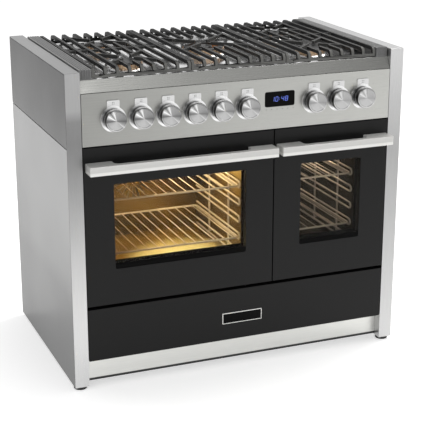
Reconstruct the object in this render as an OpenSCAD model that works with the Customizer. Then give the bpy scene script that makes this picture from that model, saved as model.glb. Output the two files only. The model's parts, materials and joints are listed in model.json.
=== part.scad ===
// Free-standing range cooker, one metre wide, with two ovens, a storage drawer and a gas hob.
// Millimetres, +X to the right seen from the front, +Y to the back, +Z up.
// The origin is on the floor under the middle of the overall box, handles included.

/* [Body] */
// Overall width across the side panels
body_w = 1000; // [940:5:1100]
// Depth from the front of the side trims to the back
body_d = 610; // [600:5:650]
// Height of the side trims above the floor
body_h = 900; // [880:5:930]
// Width of each side trim, seen from the front
trim_w = 41; // [34:1:50]
// Depth of the front leg of each side trim
trim_depth = 44; // [42:1:54]
// Height of the top strip of each side trim
strip_h = 25; // [18:1:32]
// Sheet thickness of panels, doors and hob
sheet = 1.5; // [1:0.1:2]
// Sheet thickness of the chassis and the base pan
frame_t = 2; // [1.5:0.1:3]
// Width of the folded edges of the side panels
fold = 15; // [10:1:20]
// Gap between the upper and the lower side panel
seam_gap = 2; // [1:0.5:3]
// Gap between a side panel and the trim face that closes over its edge
skin_gap = 1; // [0.5:0.1:2]
// Height of the side panels' seam above the door tops
seam_rise = -1; // [-6:1:3]
// How far the back panel lies in from the back
back_inset = 22; // [20:1:30]

/* [Feet and plinth] */
// Clear height under the cooker
foot_h = 10; // [8:1:20]
// Radius of a foot
foot_r = 19; // [14:1:20]
// Radius of the threaded stud of a foot
stud_r = 4; // [3:0.5:6]
// Distance of the rear feet from the back
rear_foot_in = 60; // [45:5:90]
// Clear gap under the plinth
plinth_gap = 4; // [2:1:8]
// How far the plinth lies behind the front
plinth_back = 28; // [20:1:36]

/* [Front layout] */
// Height of the drawer front's lower edge
drawer_bottom = 84; // [70:1:100]
// Height of the drawer front
drawer_h = 153; // [130:1:170]
// Finger gap between the drawer front and the doors
finger_gap = 9; // [8:0.5:14]
// Width of the left door
left_door_w = 553.5; // [500:0.5:580]
// Gap between the two doors
door_gap = 3; // [2:0.5:5]
// Gap beside the doors, the drawer front and the control panel
side_gap = 2; // [1.5:0.5:4]
// Gap between the doors and the control panel
panel_gap = 3; // [2:0.5:5]
// Height of the control panel
panel_h = 143; // [130:1:155]
// Rise of the hob's front lip
lip_h = 33; // [28:1:40]
// Rise of the side trims above the hob's front edge
trim_rise = 24; // [18:1:30]

/* [Doors] */
// Thickness of a closed door
door_t = 38; // [36:1:40]
// Depth of the folded edge of a door's front panel
door_fold = 16; // [14:1:20]
// Steel between the window and the sides of a door
window_side = 83; // [75:1:90]
// Steel between the window and the lower edge of a door
window_low = 102; // [90:1:115]
// Steel between the window and the top edge of a door
window_high = 107; // [100:1:120]
// Corner radius of a window
window_r = 4; // [3:0.5:10]
// Thickness of a glass pane
glass_t = 4; // [3:0.5:5]
// How far a pane reaches behind the steel round its window
glass_lap = 12; // [8:1:16]
// Radius of a hinge pin
pin_r = 3; // [2.5:0.1:3.5]
// Running clearance of pins, spindles and shafts, on the radius
run_fit = 0.05; // [0.03:0.01:0.08]
// Height of the hinge axis above a door's lower edge
hinge_up = 6; // [6:0.5:8]
// Depth of the hinge axis behind a door's face
hinge_in = 12; // [11:0.5:12]
// Radius of a hinge lug's eye
lug_r = 7; // [6:0.5:7]
// Width of a hinge lug
lug_w = 10; // [8:1:14]
// Space beside a hinge lug
lug_side = 3; // [1:0.5:5]
// Distance of the hinges from a door's sides
hinge_inset = 40; // [30:1:60]
// Width of the bearing blocks beside a hinge lug
bearing_w = 12; // [8:1:16]

/* [Handles] */
// How far a handle stands out from the door
handle_reach = 48; // [42:1:60]
// Height of a handle's bar
bar_h = 25; // [20:1:32]
// Depth of a handle's bar
bar_d = 16; // [12:1:22]
// Width of a handle's end blocks
end_block_w = 73; // [50:1:90]
// Distance of a handle from the door's sides
handle_inset = 5; // [3:1:12]
// Distance of a handle from the door's top edge
handle_drop = 41; // [30:1:60]
// Radius of the corners in a handle's finger space
handle_r = 12; // [6:1:15]
// Radius of a handle's outer corners
bar_r = 1.5; // [1:0.1:3]

/* [Control panel] */
// Distance of the outer knobs from the side trims
knob_edge = 88; // [78:1:95]
// Height of the knob row above the control panel's lower edge
knob_up = 70; // [64:1:76]
// Radius of a knob
knob_r = 29; // [25:0.5:32]
// How far the knob's face stands out from the control panel
knob_out = 30; // [27:1:34]
// Space between a knob and its bezel
knob_space = 4.5; // [4.2:0.1:6]
// How far a gas knob is pushed in
push_travel = 3.5; // [3:0.1:3.8]
// Wall of a knob
knob_wall = 3; // [2:0.5:4]
// Outer radius of a knob's hub
hub_r = 8; // [7:0.5:10]
// Thickness of a bezel
bezel_t = 3; // [2:0.5:4]
// Gap between the bezels of two neighbouring knobs
bezel_gap = 7; // [5:0.5:11]
// Width of a bezel's tab
tab_w = 35; // [28:1:40]
// Height of a tab's top edge above the knob's centre
tab_up = 51; // [46:1:56]
// Radius of a spindle
spindle_r = 4; // [3:0.5:4.5]
// Space round a spindle in the control panel
spindle_space = 2; // [1:0.5:3]
// Width of an oven switch
switch_w = 40; // [34:1:46]
// Depth of an oven switch
switch_d = 30; // [24:1:36]
// Width of the clock's glass
clock_w = 90.5; // [80:0.5:96]
// Height of the clock's glass
clock_h = 42.5; // [34:0.5:46]
// Distance of the clock from the next knob on its left
clock_left = 53.5; // [50:0.5:60]
// Distance of the clock from the next knob on its right
clock_right = 59; // [54:0.5:65]
// Height of the clock's lower edge above the control panel's lower edge
clock_up = 63; // [58:1:70]
// How far the clock's glass stands proud
clock_proud = 0.6; // [0.3:0.1:1.5]

/* [Hob] */
// Setback of the hob lip's lower edge
lip_low = 2; // [1:0.5:4]
// Setback of the hob lip's top edge
lip_top = 19; // [14:1:24]
// Gap between the hob lip and the control panel
lip_gap = 1; // [0.5:0.5:2]
// Depth of the hob's raised front edge
front_edge = 15; // [12:1:20]
// Depth of the hob's raised rear edge
rear_edge = 60; // [50:1:70]
// Depth of the pressed hob surface below its edges
deck_drop = 8; // [5:1:10]
// Width of a side rail
rail_w = 34; // [28:1:40]
// Height of a side rail
rail_h = 27; // [22:1:30]
// Gap between a side rail and its side trim
rail_gap = 3; // [2:0.5:5]
// Ribs on a side rail
rail_ribs = 4; // [3:1:5]

/* [Grates] */
// Height of the grates' top above the hob's edge
grate_h = 29; // [26:1:34]
// Thickness of a finger, seen from the side
finger_t = 10; // [8:0.5:12]
// Width of a finger, seen from above
finger_w = 8; // [6:0.5:10]
// Spaces between the bars of one grate
finger_spaces = 8; // [6, 8, 10]
// Outer radius of a finger's bend
bend_r = 14; // [12:0.5:16]
// Gap between two grates
grate_gap = 2; // [1:0.5:4]
// Setback of the grates behind the hob lip's top edge
grate_back = 3; // [2:0.5:6]
// Height of a grate's low rails
low_rail_h = 8; // [6:0.5:10]
// Height of the pads under a grate
pad_h = 2; // [1:0.5:3]
// Distance of a pad from the middle of its grate
pad_x = 66; // [50:1:90]
// Gap left between a resting piece and its seat
rest_gap = 0.3; // [0.2:0.05:0.5]
// Open radius in the fingers over a corner burner
corner_open = 62; // [56:1:66]
// Open radius in the fingers over the middle burner
middle_open = 90; // [82:1:96]
// Inner reach of the slanting fingers, from the burner's centre
slant_in = 24; // [18:1:30]

/* [Burners] */
// Distance of the corner burners from the hob's middle line
burner_dy = 135; // [125:1:140]
// Radius of a large burner
large_r = 45; // [40:1:48]
// Radius of a small burner
small_r = 34; // [28:1:38]
// Radius of the middle burner
wok_r = 62; // [56:1:66]
// Height of a burner cup above the hob
cup_h = 8; // [6:1:9]
// Height of a burner head
head_h = 11; // [9:1:12]
// Height of a burner cap
cap_h = 5; // [4:0.5:6]
// Width of a flame port
port_w = 2; // [1.5:0.5:2.5]
// Depth of a flame port
port_d = 6; // [4:0.5:8]
// Radius of a burner pipe
pipe_r = 4; // [3:0.5:4.5]

/* [Gas supply] */
// Radius of the manifold
manifold_r = 10; // [8:0.5:12]
// Depth of the manifold's middle behind the front
manifold_in = 70; // [66:1:80]
// Width of a valve
valve_w = 24; // [20:1:30]
// Depth of a valve's face behind the front
valve_in = 20; // [16:1:24]
// Length of a valve's round neck
valve_neck = 6; // [4:0.5:8]
// Radius of the inlet's thread
inlet_r = 10.5; // [10.4:0.1:13]
// Length of the inlet's thread
inlet_len = 18; // [12:1:18]
// Distance of the inlet pipe from the chassis side
inlet_side = 27; // [20:1:32]

/* [Ovens] */
// Distance of the oven cavities from their door's sides
cavity_side = 57; // [50:1:64]
// Distance of the oven floors above the doors' lower edge
cavity_low = 39; // [34:1:50]
// Distance of the oven roofs below the doors' top edge
cavity_high = 42; // [36:1:50]
// Depth of the oven cavities
cavity_d = 410; // [380:5:430]
// Corner radius of the oven cavities
cavity_r = 18; // [12:1:24]
// Width of the cavities' front flange
cavity_flange = 12; // [8:1:16]
// Radius of the ladder and rack frame wires
wire_r = 3; // [2.5:0.1:3.5]
// Radius of the rack's cross wires
thin_wire_r = 1.5; // [1:0.1:2]
// Distance between a ladder's wires and the oven wall
ladder_off = 12; // [10:1:16]
// Distance of a ladder's posts from its front and rear ends
post_in = 95; // [60:5:120]
// Height of the lowest shelf place above the oven floor
shelf_low = 20; // [20:1:26]
// Distance between shelf places
shelf_pitch = 52; // [46:1:54]
// Shelf places of one ladder
shelf_count = 6; // [5:1:6]
// Height of the wire loop at each shelf place
loop_h = 18; // [17:0.5:20]
// Space between the rack wires
rack_pitch = 29; // [24:1:34]
// Corner radius of a rack
rack_r = 14; // [10:1:18]
// Gap between a rack and the oven's front and back
rack_end = 34; // [30:1:50]
// Radius of the fan
fan_r = 72; // [60:1:80]
// Depth of the fan
fan_d = 18; // [14:1:20]
// Fan blades
fan_blades = 12; // [8:1:16]
// Depth of the fan's cover
cover_d = 28; // [26:1:34]
// Half the width of the fan's cover
cover_half = 105; // [100:1:120]
// Radius of the fan motor
motor_r = 42; // [36:1:48]
// Radius of a heating element's tube
tube_r = 4; // [3:0.5:5]
// Gap between the grill element and the oven roof
grill_drop = 22; // [18:1:30]
// Radius of an oven lamp
lamp_r = 24; // [18:1:28]
// Height of the door seals' section
seal_t = 6; // [4:0.5:8]

/* [Drawer] */
// Depth of the drawer front's folded edge
front_fold = 24; // [18:1:30]
// Width of the drawer front's inner rim
front_rim = 24; // [21:1:30]
// Length of the drawer box
box_len = 470; // [420:5:480]
// Space between the drawer box and the chassis sides
box_side = 42; // [38:1:50]
// Height of the drawer box
box_h = 124; // [100:1:126]
// Space under the drawer box, above the drawer front's lower edge
box_low = 12; // [8:1:16]
// Height of the drawer's slide bars
bar_rise = 16; // [12:1:20]
// Width of the drawer's slide bars
slide_w = 12; // [8:1:14]
// Running gap of the slide bars
slide_fit = 0.4; // [0.3:0.1:0.8]
// Height of the slide bars above the drawer box's bottom
slide_up = 50; // [40:1:60]

/* [Hidden] */
$fn = 48;
cut = 1;
inner_x = body_w / 2 - trim_w;
front_y = (handle_reach - body_d) / 2;
back_y = front_y + body_d;
frame_y = front_y + trim_depth;
base_z = foot_h + frame_t;
plinth_z = foot_h + plinth_gap;

drawer_top = drawer_bottom + drawer_h;
door_bottom = drawer_top + finger_gap;
panel_top = body_h - trim_rise - lip_h;
panel_bottom = panel_top - panel_h;
door_top = panel_bottom - panel_gap;
edge_z = panel_top + lip_h;
deck_z = edge_z - deck_drop;
seam_z = door_top + seam_rise;

left_x0 = side_gap - inner_x;
left_x1 = left_x0 + left_door_w;
right_x0 = left_x1 + door_gap;
right_x1 = -left_x0;
DOORS = [[left_x0, left_x1], [right_x0, right_x1]];

hinge_y = front_y + hinge_in;
hinge_z = door_bottom + hinge_up;
notch_h = 14;
handle_z1 = door_top - handle_drop;
handle_z0 = handle_z1 - bar_h;

knob_count = 9;
gas_count = 5;
left_knobs = 6;
knob_z = panel_bottom + knob_up;
clock_space = clock_left + clock_w + clock_right;
knob_pitch = (2 * (inner_x - knob_edge) - clock_space) / (knob_count - 2);
bezel_r = (knob_pitch - bezel_gap) / 2;
function knob_x(i) = i < left_knobs
    ? knob_edge - inner_x + i * knob_pitch
    : inner_x - knob_edge - (knob_count - 1 - i) * knob_pitch;
knob_face_y = front_y - knob_out;
knob_back_y = front_y - bezel_t - knob_space;
spindle_tip_y = knob_face_y + knob_wall + 2;
valve_y = front_y + valve_in;
manifold_y = front_y + manifold_in;
manifold_z = knob_z;
spindle_in = 12;
clock_x0 = knob_x(left_knobs - 1) + clock_left;
clock_z0 = panel_bottom + clock_up;
clock_r = 5;

hob_side = inner_x - 0.5;
hob_back = back_y - 2;
rear_edge_y = back_y - rear_edge;
rail_x0 = inner_x - rail_gap - rail_w;
rail_x1 = inner_x - rail_gap;
grate_pitch = 2 * (rail_x0 - grate_gap / 2) / 3;
grate_w = grate_pitch - grate_gap;
grate_y0 = front_y + lip_top + grate_back;
grate_y1 = rear_edge_y + front_edge - grate_back;
grate_mid = (grate_y0 + grate_y1) / 2;
grate_top = edge_z + grate_h;
low_rail_z = edge_z + rest_gap + pad_h;
bar_pitch = (grate_w - finger_w) / finger_spaces;

BURNERS = [
    [-grate_pitch, grate_mid + burner_dy, small_r],
    [-grate_pitch, grate_mid - burner_dy, large_r],
    [0, grate_mid, wok_r],
    [grate_pitch, grate_mid + burner_dy, small_r],
    [grate_pitch, grate_mid - burner_dy, large_r]
];
cup_lip = 7;
neck_in = 9;
neck_z = deck_z - 20;
pipe_bend = 2 * pipe_r;
PIPE_LEVEL = [1, 0, 4, 3, 2];

cavity_z0 = door_bottom + cavity_low;
cavity_z1 = door_top - cavity_high;
cavity_y0 = frame_y + frame_t;
cavity_y1 = cavity_y0 + cavity_d;
function cavity_x(door) = [door.x + cavity_side, door.y - cavity_side];
fan_x = (left_x0 + left_x1) / 2;
fan_z = (cavity_z0 + cavity_z1) / 2;
shaft_r = 4;
function shelf_z(i) = cavity_z0 + shelf_low + i * shelf_pitch;
racks = [1, 4];

box_x = inner_x - frame_t - box_side;
box_y0 = front_y + front_fold;
box_z0 = drawer_bottom + box_low;
slide_z = box_z0 + slide_up;
drawer_hole_in = 17;
drawer_hole_low = 6;

// Shared shapes

module block(lo, hi) {
    translate(lo) cube(hi - lo);
}

module along_x(x0, x1) {
    translate([x0, 0, 0]) rotate([90, 0, 90]) linear_extrude(x1 - x0) children();
}

module along_y(y0, y1) {
    translate([0, y1, 0]) rotate([90, 0, 0]) linear_extrude(y1 - y0) children();
}

module rod_y(x, z, y0, y1, r) {
    translate([x, y1, z]) rotate([90, 0, 0]) cylinder(h = y1 - y0, r = r);
}

module rod_x(y, z, x0, x1, r) {
    translate([x0, y, z]) rotate([0, 90, 0]) cylinder(h = x1 - x0, r = r);
}

module rounded_rect(lo, hi, r) {
    translate([lo.x + r, lo.y]) square([hi.x - lo.x - 2 * r, hi.y - lo.y]);
    translate([lo.x, lo.y + r]) square([hi.x - lo.x, hi.y - lo.y - 2 * r]);
    for (x = [lo.x + r, hi.x - r], y = [lo.y + r, hi.y - r]) translate([x, y]) circle(r);
}

// A sheet box that is open at the back
module front_tray(lo, hi, t) {
    difference() {
        block(lo, hi);
        block([lo.x + t, lo.y + t, lo.z + t], [hi.x - t, hi.y + cut, hi.z - t]);
    }
}

// Makes the right-hand twin of a left-hand piece as well
module both_sides() {
    children();
    mirror([1, 0, 0]) children();
}

// Cabinet

// Folded sheet: front leg and top strip, whose outer cheeks lie behind the side panels
module side_trim_solid() {
    x0 = -body_w / 2;
    cheek_x = x0 + sheet + rest_gap;
    difference() {
        union() {
            block([x0, front_y, foot_h], [-inner_x, front_y + sheet, body_h]);
            block([x0, front_y, body_h - sheet], [-inner_x, back_y, body_h]);
            block([cheek_x, front_y, foot_h], [-inner_x, frame_y, body_h]);
            block([cheek_x, frame_y, body_h - strip_h], [-inner_x, back_y, body_h]);
        }
        block([cheek_x + sheet, front_y + sheet, foot_h + frame_t],
            [-inner_x - sheet, frame_y + cut, body_h - sheet]);
        block([cheek_x + sheet, frame_y, body_h - strip_h - cut],
            [-inner_x - sheet, back_y - sheet, body_h - sheet]);
        translate([x0 + trim_w / 2, front_y + trim_depth / 2, 0]) cylinder(h = body_h / 2, r = stud_r);
    }
}

module side_trim_left() color([0.72, 0.72, 0.70]) side_trim_solid();
module side_trim_right() color([0.72, 0.72, 0.70]) mirror([1, 0, 0]) side_trim_solid();

// Folded tray whose outer skin runs on over the cheeks of the side trim
module side_panel(z0, z1, skin_z) {
    x0 = -body_w / 2;
    difference() {
        union() {
            block([x0, frame_y, z0], [x0 + fold, back_y, z1]);
            block([x0, front_y + sheet + skin_gap, z0], [x0 + sheet, back_y, skin_z]);
        }
        block([x0 + sheet, frame_y + sheet, z0 + sheet], [x0 + fold + cut, back_y - sheet, z1 - sheet]);
    }
}

module upper_side_panels() color([0.55, 0.55, 0.55])
    both_sides() side_panel(seam_z + seam_gap, body_h - strip_h, body_h - sheet - skin_gap);
module lower_side_panels() color([0.70, 0.70, 0.70]) both_sides() side_panel(foot_h, seam_z, seam_z);

// Plain sheet with rows of cooling slots and a hole for the gas inlet
module back_panel() {
    y0 = back_y - back_inset;
    slot_w = 60;
    slot_h = 6;
    columns = 4;
    rows = 6;
    color([0.60, 0.60, 0.60]) difference() {
        block([fold - body_w / 2, y0, base_z], [body_w / 2 - fold, y0 + frame_t, deck_z - sheet]);
        for (c = [0 : columns - 1], r = [0 : rows - 1], side = [-1, 1]) {
            x = side * inner_x / 2 + (c - (columns - 1) / 2) * slot_w * 1.3;
            z = panel_bottom - r * 3 * slot_h;
            along_y(y0 - cut, y0 + frame_t + cut)
                rounded_rect([x - slot_w / 2, z], [x + slot_w / 2, z + slot_h], slot_h / 2.5);
        }
        rod_y(inner_x - frame_t - inlet_side, manifold_z,
            y0 - cut, y0 + frame_t + cut, inlet_r + spindle_space);
    }
}

module base_pan() {
    x0 = fold - body_w / 2;
    rear_y = back_y - rear_foot_in;
    color([0.25, 0.25, 0.25]) difference() {
        block([x0, frame_y, foot_h], [-x0, back_y - back_inset, base_z]);
        both_sides() translate([-inner_x + foot_r, rear_y, foot_h - cut])
            cylinder(h = frame_t + 2 * cut, r = stud_r);
    }
}

module plinth() {
    top = drawer_bottom - side_gap;
    color([0.80, 0.80, 0.80])
        front_tray([-inner_x, front_y + plinth_back, plinth_z], [inner_x, frame_y, top], sheet);
}

// Pad with a chamfered edge and a stud that screws into the cooker
module foot(stud_top) {
    bevel = 2;
    rotate_extrude() polygon([
        [0, 0], [foot_r - bevel, 0], [foot_r, bevel], [foot_r, foot_h - bevel],
        [foot_r - bevel, foot_h], [stud_r - rest_gap, foot_h], [stud_r - rest_gap, stud_top], [0, stud_top]
    ]);
}

module levelling_feet() {
    stud_rise = 12;
    color([0.08, 0.08, 0.08]) both_sides() {
        translate([trim_w / 2 - body_w / 2, front_y + trim_depth / 2, 0]) foot(foot_h + stud_rise);
        translate([-inner_x + foot_r, back_y - rear_foot_in, 0]) foot(foot_h + stud_rise);
    }
}

// Welded frame: front plate with three openings, side sheets, oven deck and four hinge lugs
module chassis() {
    rear_y = back_y - back_inset;
    color([0.50, 0.50, 0.52]) {
        difference() {
            block([-inner_x, frame_y, base_z], [inner_x, frame_y + frame_t, panel_bottom + 2 * sheet]);
            for (door = DOORS) along_y(frame_y - cut, frame_y + frame_t + cut) cavity_outline(door, 0);
            block([drawer_hole_in - inner_x, frame_y - cut, drawer_bottom + drawer_hole_low],
                [inner_x - drawer_hole_in, frame_y + frame_t + cut, drawer_top - drawer_hole_low]);
        }
        both_sides() block([-inner_x, frame_y, base_z], [frame_t - inner_x, rear_y, deck_z - sheet]);
        block([-inner_x, frame_y, drawer_top + frame_t / 2], [inner_x, rear_y, drawer_top + 1.5 * frame_t]);
        for (door = DOORS, x = hinge_places(door)) hinge_lug(x);
    }
}

function hinge_places(door) = [door.x + hinge_inset, door.y - hinge_inset];

module hinge_lug(x) {
    along_x(x - lug_w / 2, x + lug_w / 2) difference() {
        union() {
            translate([hinge_y, hinge_z]) circle(lug_r);
            translate([hinge_y, hinge_z - lug_r]) square([frame_y + frame_t / 2 - hinge_y, 2 * lug_r]);
        }
        translate([hinge_y, hinge_z]) circle(pin_r + run_fit);
    }
}

// Hob

// Section of the pressed hob sheet, drawn at depth o below its surface
function hob_line(o) = [
    [front_y + lip_low + o, panel_top + lip_gap],
    [front_y + lip_top + o * 0.6, edge_z - o],
    [front_y + lip_top + front_edge - o * 0.4, edge_z - o],
    [front_y + lip_top + front_edge + deck_drop / 2 - o * 0.4, deck_z - o],
    [rear_edge_y - deck_drop / 2 + o * 0.4, deck_z - o],
    [rear_edge_y + o * 0.4, edge_z - o],
    [hob_back - o, edge_z - o],
    [hob_back - o, deck_z - 2 * deck_drop]
];

module hob_top() {
    outer = hob_line(0);
    inner = hob_line(sheet);
    last = len(inner) - 1;
    slots = 9;
    color([0.80, 0.80, 0.78]) difference() {
        along_x(-hob_side, hob_side) polygon(concat(outer, [for (i = [last : -1 : 0]) inner[i]]));
        for (b = BURNERS) translate([b.x, b.y, deck_z - deck_drop])
            cylinder(h = 2 * deck_drop, r = b.z - neck_in + rest_gap);
        for (i = [0 : slots - 1]) {
            x = (i - (slots - 1) / 2) * inner_x / 6;
            translate([x, rear_edge_y + 0.65 * rear_edge, edge_z - 2 * sheet])
                linear_extrude(4 * sheet) rounded_rect([-25, -4], [25, 4], 3.5);
        }
    }
}

// Ribbed rail beside the grates, hollow underneath; its grooves run on down its front end
module side_rail() {
    wall = 4;
    groove_w = 0.6 * rail_w / (2 * rail_ribs - 1);
    groove_d = wall / 4;
    y0 = front_y + lip_top - 1;
    y1 = grate_y1 + grate_back;
    difference() {
        block([-rail_x1, y0, edge_z], [-rail_x0, y1, edge_z + rail_h]);
        block([wall - rail_x1, y0 + wall, edge_z - cut],
            [-rail_x0 - wall, y1 - wall, edge_z + rail_h - wall]);
        for (i = [1 : rail_ribs]) {
            x = i * rail_w / (rail_ribs + 1) - rail_x1 - groove_w / 2;
            block([x, y0 - cut, edge_z + rail_h - groove_d], [x + groove_w, y1 + cut, edge_z + rail_h + cut]);
            block([x, y0 - cut, edge_z + wall], [x + groove_w, y0 + groove_d, edge_z + rail_h + cut]);
        }
    }
}

module side_rails() color([0.22, 0.22, 0.22]) both_sides() side_rail();

// Grates

// Side view of one finger from y0 to y1; it turns down to the low rail where down0 or down1 is set
module finger_view(y0, y1, down0, down1) {
    s = down0 ? y0 + bend_r : y0;
    e = down1 ? y1 - bend_r : y1;
    tip = finger_t / 2;
    polygon([
        [s, grate_top], [e, grate_top], [e, grate_top - (down1 ? finger_t : tip)],
        [e - (down1 ? 0 : tip), grate_top - finger_t], [s + (down0 ? 0 : tip), grate_top - finger_t],
        [s, grate_top - (down0 ? finger_t : tip)]
    ]);
    if (down0) finger_bend(y0, 1);
    if (down1) finger_bend(y1, -1);
}

module finger_bend(y, dir) {
    flip = dir < 0 ? 1 : 0;
    translate([y, 0]) mirror([flip, 0]) {
        translate([0, low_rail_z]) square([finger_t, grate_top - bend_r - low_rail_z]);
        translate([bend_r, grate_top - bend_r]) intersection() {
            difference() {
                circle(bend_r);
                circle(bend_r - finger_t);
            }
            translate([-bend_r, 0]) square(bend_r);
        }
    }
}

module finger(x, y0, y1, down0, down1) {
    along_x(x - finger_w / 2, x + finger_w / 2) finger_view(y0, y1, down0, down1);
}

function chord(r, dx) = abs(dx) < r ? sqrt(r * r - dx * dx) : 0;

// One row of the comb at distance dx from the middle, broken where it would cross a burner
module finger_row(cx, dx, centres, open_r) {
    s = chord(open_r, dx);
    n = len(centres);
    if (s == 0) finger(cx + dx, grate_y0, grate_y1, true, true);
    else for (i = [0 : n]) {
        y0 = i == 0 ? grate_y0 : centres[i - 1] + s;
        y1 = i == n ? grate_y1 : centres[i] - s;
        finger(cx + dx, y0, y1, i == 0, i == n);
    }
}

// Four slanting fingers that point at a burner from the nearest unbroken bars
module slant_fingers(cx, cy, open_r) {
    outer = ceil(open_r / bar_pitch) * bar_pitch;
    for (turn = [45 : 90 : 315]) translate([cx, cy, grate_top - finger_t]) rotate(turn)
        translate([slant_in, -finger_w / 2, 0]) cube([outer * sqrt(2) - slant_in, finger_w, finger_t]);
}

module grate(cx, centres, open_r, grip) {
    for (k = [-finger_spaces / 2 : finger_spaces / 2]) finger_row(cx, k * bar_pitch, centres, open_r);
    for (cy = centres) slant_fingers(cx, cy, open_r);
    x0 = cx - grate_w / 2;
    x1 = cx + grate_w / 2;
    block([x0, grate_y0, low_rail_z], [x1, grate_y0 + finger_t, low_rail_z + low_rail_h]);
    block([x0, grate_y1 - finger_t, low_rail_z], [x1, grate_y1, low_rail_z + low_rail_h]);
    if (grip) block([x0, grate_mid - finger_w / 2, grate_top - finger_t],
        [x1, grate_mid + finger_w / 2, grate_top - 2]);
    for (side = [-1, 1], y = [grate_y0 + finger_t / 2, grate_y1 - finger_t / 2])
        translate([cx + side * pad_x, y, edge_z + rest_gap]) cylinder(h = pad_h, r = finger_w / 2);
}

module grate_left() color([0.13, 0.13, 0.13])
    grate(-grate_pitch, [grate_mid - burner_dy, grate_mid + burner_dy], corner_open, true);
module grate_middle() color([0.13, 0.13, 0.13]) grate(0, [grate_mid], middle_open, false);
module grate_right() color([0.13, 0.13, 0.13])
    grate(grate_pitch, [grate_mid - burner_dy, grate_mid + burner_dy], corner_open, true);

// Burners

// Cup with a skirt on the hob and a neck through it, where the gas pipe ends
module burner_cup(r) {
    rotate_extrude() polygon([
        [0, neck_z], [r - neck_in, neck_z], [r - neck_in, deck_z], [r + cup_lip, deck_z],
        [r + cup_lip, deck_z + cup_h / 3], [r - 2, deck_z + cup_h], [0, deck_z + cup_h]
    ]);
}

module burner_cups() color([0.60, 0.60, 0.60]) for (b = BURNERS) translate([b.x, b.y, 0]) burner_cup(b.z);

// Brass crown with flame ports cut round its rim
module burner_head(r) {
    z0 = deck_z + cup_h;
    ports = floor(r * 0.55);
    difference() {
        translate([0, 0, z0]) cylinder(h = head_h, r1 = r - 2, r2 = r);
        for (i = [0 : ports - 1]) rotate(i * 360 / ports)
            translate([r - port_d, -port_w / 2, z0 + head_h - port_d])
                cube([port_d + cut, port_w, port_d + cut]);
        if (r == wok_r) translate([0, 0, z0 + head_h / 4]) difference() {
            cylinder(h = head_h, r = r * 0.72);
            cylinder(h = head_h, r = r * 0.42);
        }
    }
}

module burner_heads() color([0.72, 0.58, 0.36]) for (b = BURNERS) translate([b.x, b.y, 0]) burner_head(b.z);

// Domed lid; the middle burner has a ring with a small lid inside it
module burner_cap(r, hole) {
    z0 = deck_z + cup_h + head_h;
    translate([0, 0, z0]) difference() {
        rotate_extrude() polygon([[0, 0], [r, 0], [r, cap_h / 2], [r - cap_h / 2, cap_h], [0, cap_h]]);
        if (hole > 0) translate([0, 0, -cut]) cylinder(h = cap_h + 2 * cut, r = hole);
    }
}

module burner_caps() color([0.06, 0.06, 0.06]) for (b = BURNERS) translate([b.x, b.y, 0]) {
    burner_cap(b.z - 4, b.z == wok_r ? b.z * 0.72 : 0);
    if (b.z == wok_r) burner_cap(b.z * 0.42, 0);
}

module ignition_electrodes() {
    stem_r = 3;
    color([0.90, 0.88, 0.84]) for (b = BURNERS) translate([b.x, b.y, deck_z]) rotate(20)
        translate([b.z + cup_lip + stem_r + 1, 0, 0]) {
            cylinder(h = cup_h + 4, r = stem_r);
            cylinder(h = cup_h + head_h - 3, r = 1);
        }
}

// A quarter bend of tube in the XZ plane, from straight up to straight across
module tube_bend(x, z, turn) {
    translate([x, 0, z]) rotate([90, 0, 0]) rotate(turn) rotate_extrude(angle = 90)
        translate([pipe_bend, 0]) circle(pipe_r);
}

// Tubes from the valves to the burner cups, each on its own level
module burner_pipe(i) {
    b = BURNERS[i];
    from = [knob_x(i), manifold_y - manifold_r];
    valve_top = manifold_z + valve_w / 2;
    low = valve_top + pipe_bend + 1;
    z = low + PIPE_LEVEL[i] / (gas_count - 1) * (neck_z - pipe_bend - 1 - low);
    run = norm([b.x - from.x, b.y - from.y]);
    translate(from) rotate(atan2(b.y - from.y, b.x - from.x)) {
        translate([0, 0, valve_top]) cylinder(h = z - pipe_bend - valve_top, r = pipe_r);
        tube_bend(pipe_bend, z - pipe_bend, 90);
        translate([pipe_bend, 0, z]) rotate([0, 90, 0]) cylinder(h = run - 2 * pipe_bend, r = pipe_r);
        tube_bend(run - pipe_bend, z + pipe_bend, 270);
        translate([run, 0, z + pipe_bend]) cylinder(h = neck_z - z - pipe_bend, r = pipe_r);
    }
}

module burner_pipes() color([0.75, 0.75, 0.75]) for (i = [0 : gas_count - 1]) burner_pipe(i);

// Control panel

module clock_outline(grow) {
    rounded_rect([clock_x0 - grow, clock_z0 - grow],
        [clock_x0 + clock_w + grow, clock_z0 + clock_h + grow], clock_r);
}

module control_panel() {
    x1 = inner_x - side_gap + sheet / 2;
    color([0.66, 0.66, 0.63]) difference() {
        front_tray([-x1, front_y, panel_bottom], [x1, frame_y, panel_top], sheet);
        for (i = [0 : knob_count - 1])
            rod_y(knob_x(i), knob_z, front_y - cut, front_y + sheet + cut, spindle_r + spindle_space);
        along_y(front_y - cut, front_y + sheet + cut) clock_outline(0);
    }
}

// Glass front in the panel's opening, with the clock's housing behind it
module clock() {
    housing_d = 22;
    lap = 4;
    color([0.03, 0.03, 0.04]) {
        along_y(front_y - clock_proud, front_y + sheet) clock_outline(-rest_gap);
        along_y(front_y + sheet, front_y + housing_d) clock_outline(lap);
    }
}

// Round base with a square tab above the knob
module knob_bezels() {
    tab_r = 3;
    color([0.85, 0.85, 0.84]) for (i = [0 : knob_count - 1]) along_y(front_y - bezel_t, front_y)
        translate([knob_x(i), knob_z]) difference() {
            union() {
                circle(bezel_r);
                rounded_rect([-tab_w / 2, 0], [tab_w / 2, tab_up], tab_r);
            }
            circle(spindle_r + spindle_space);
        }
}

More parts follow.
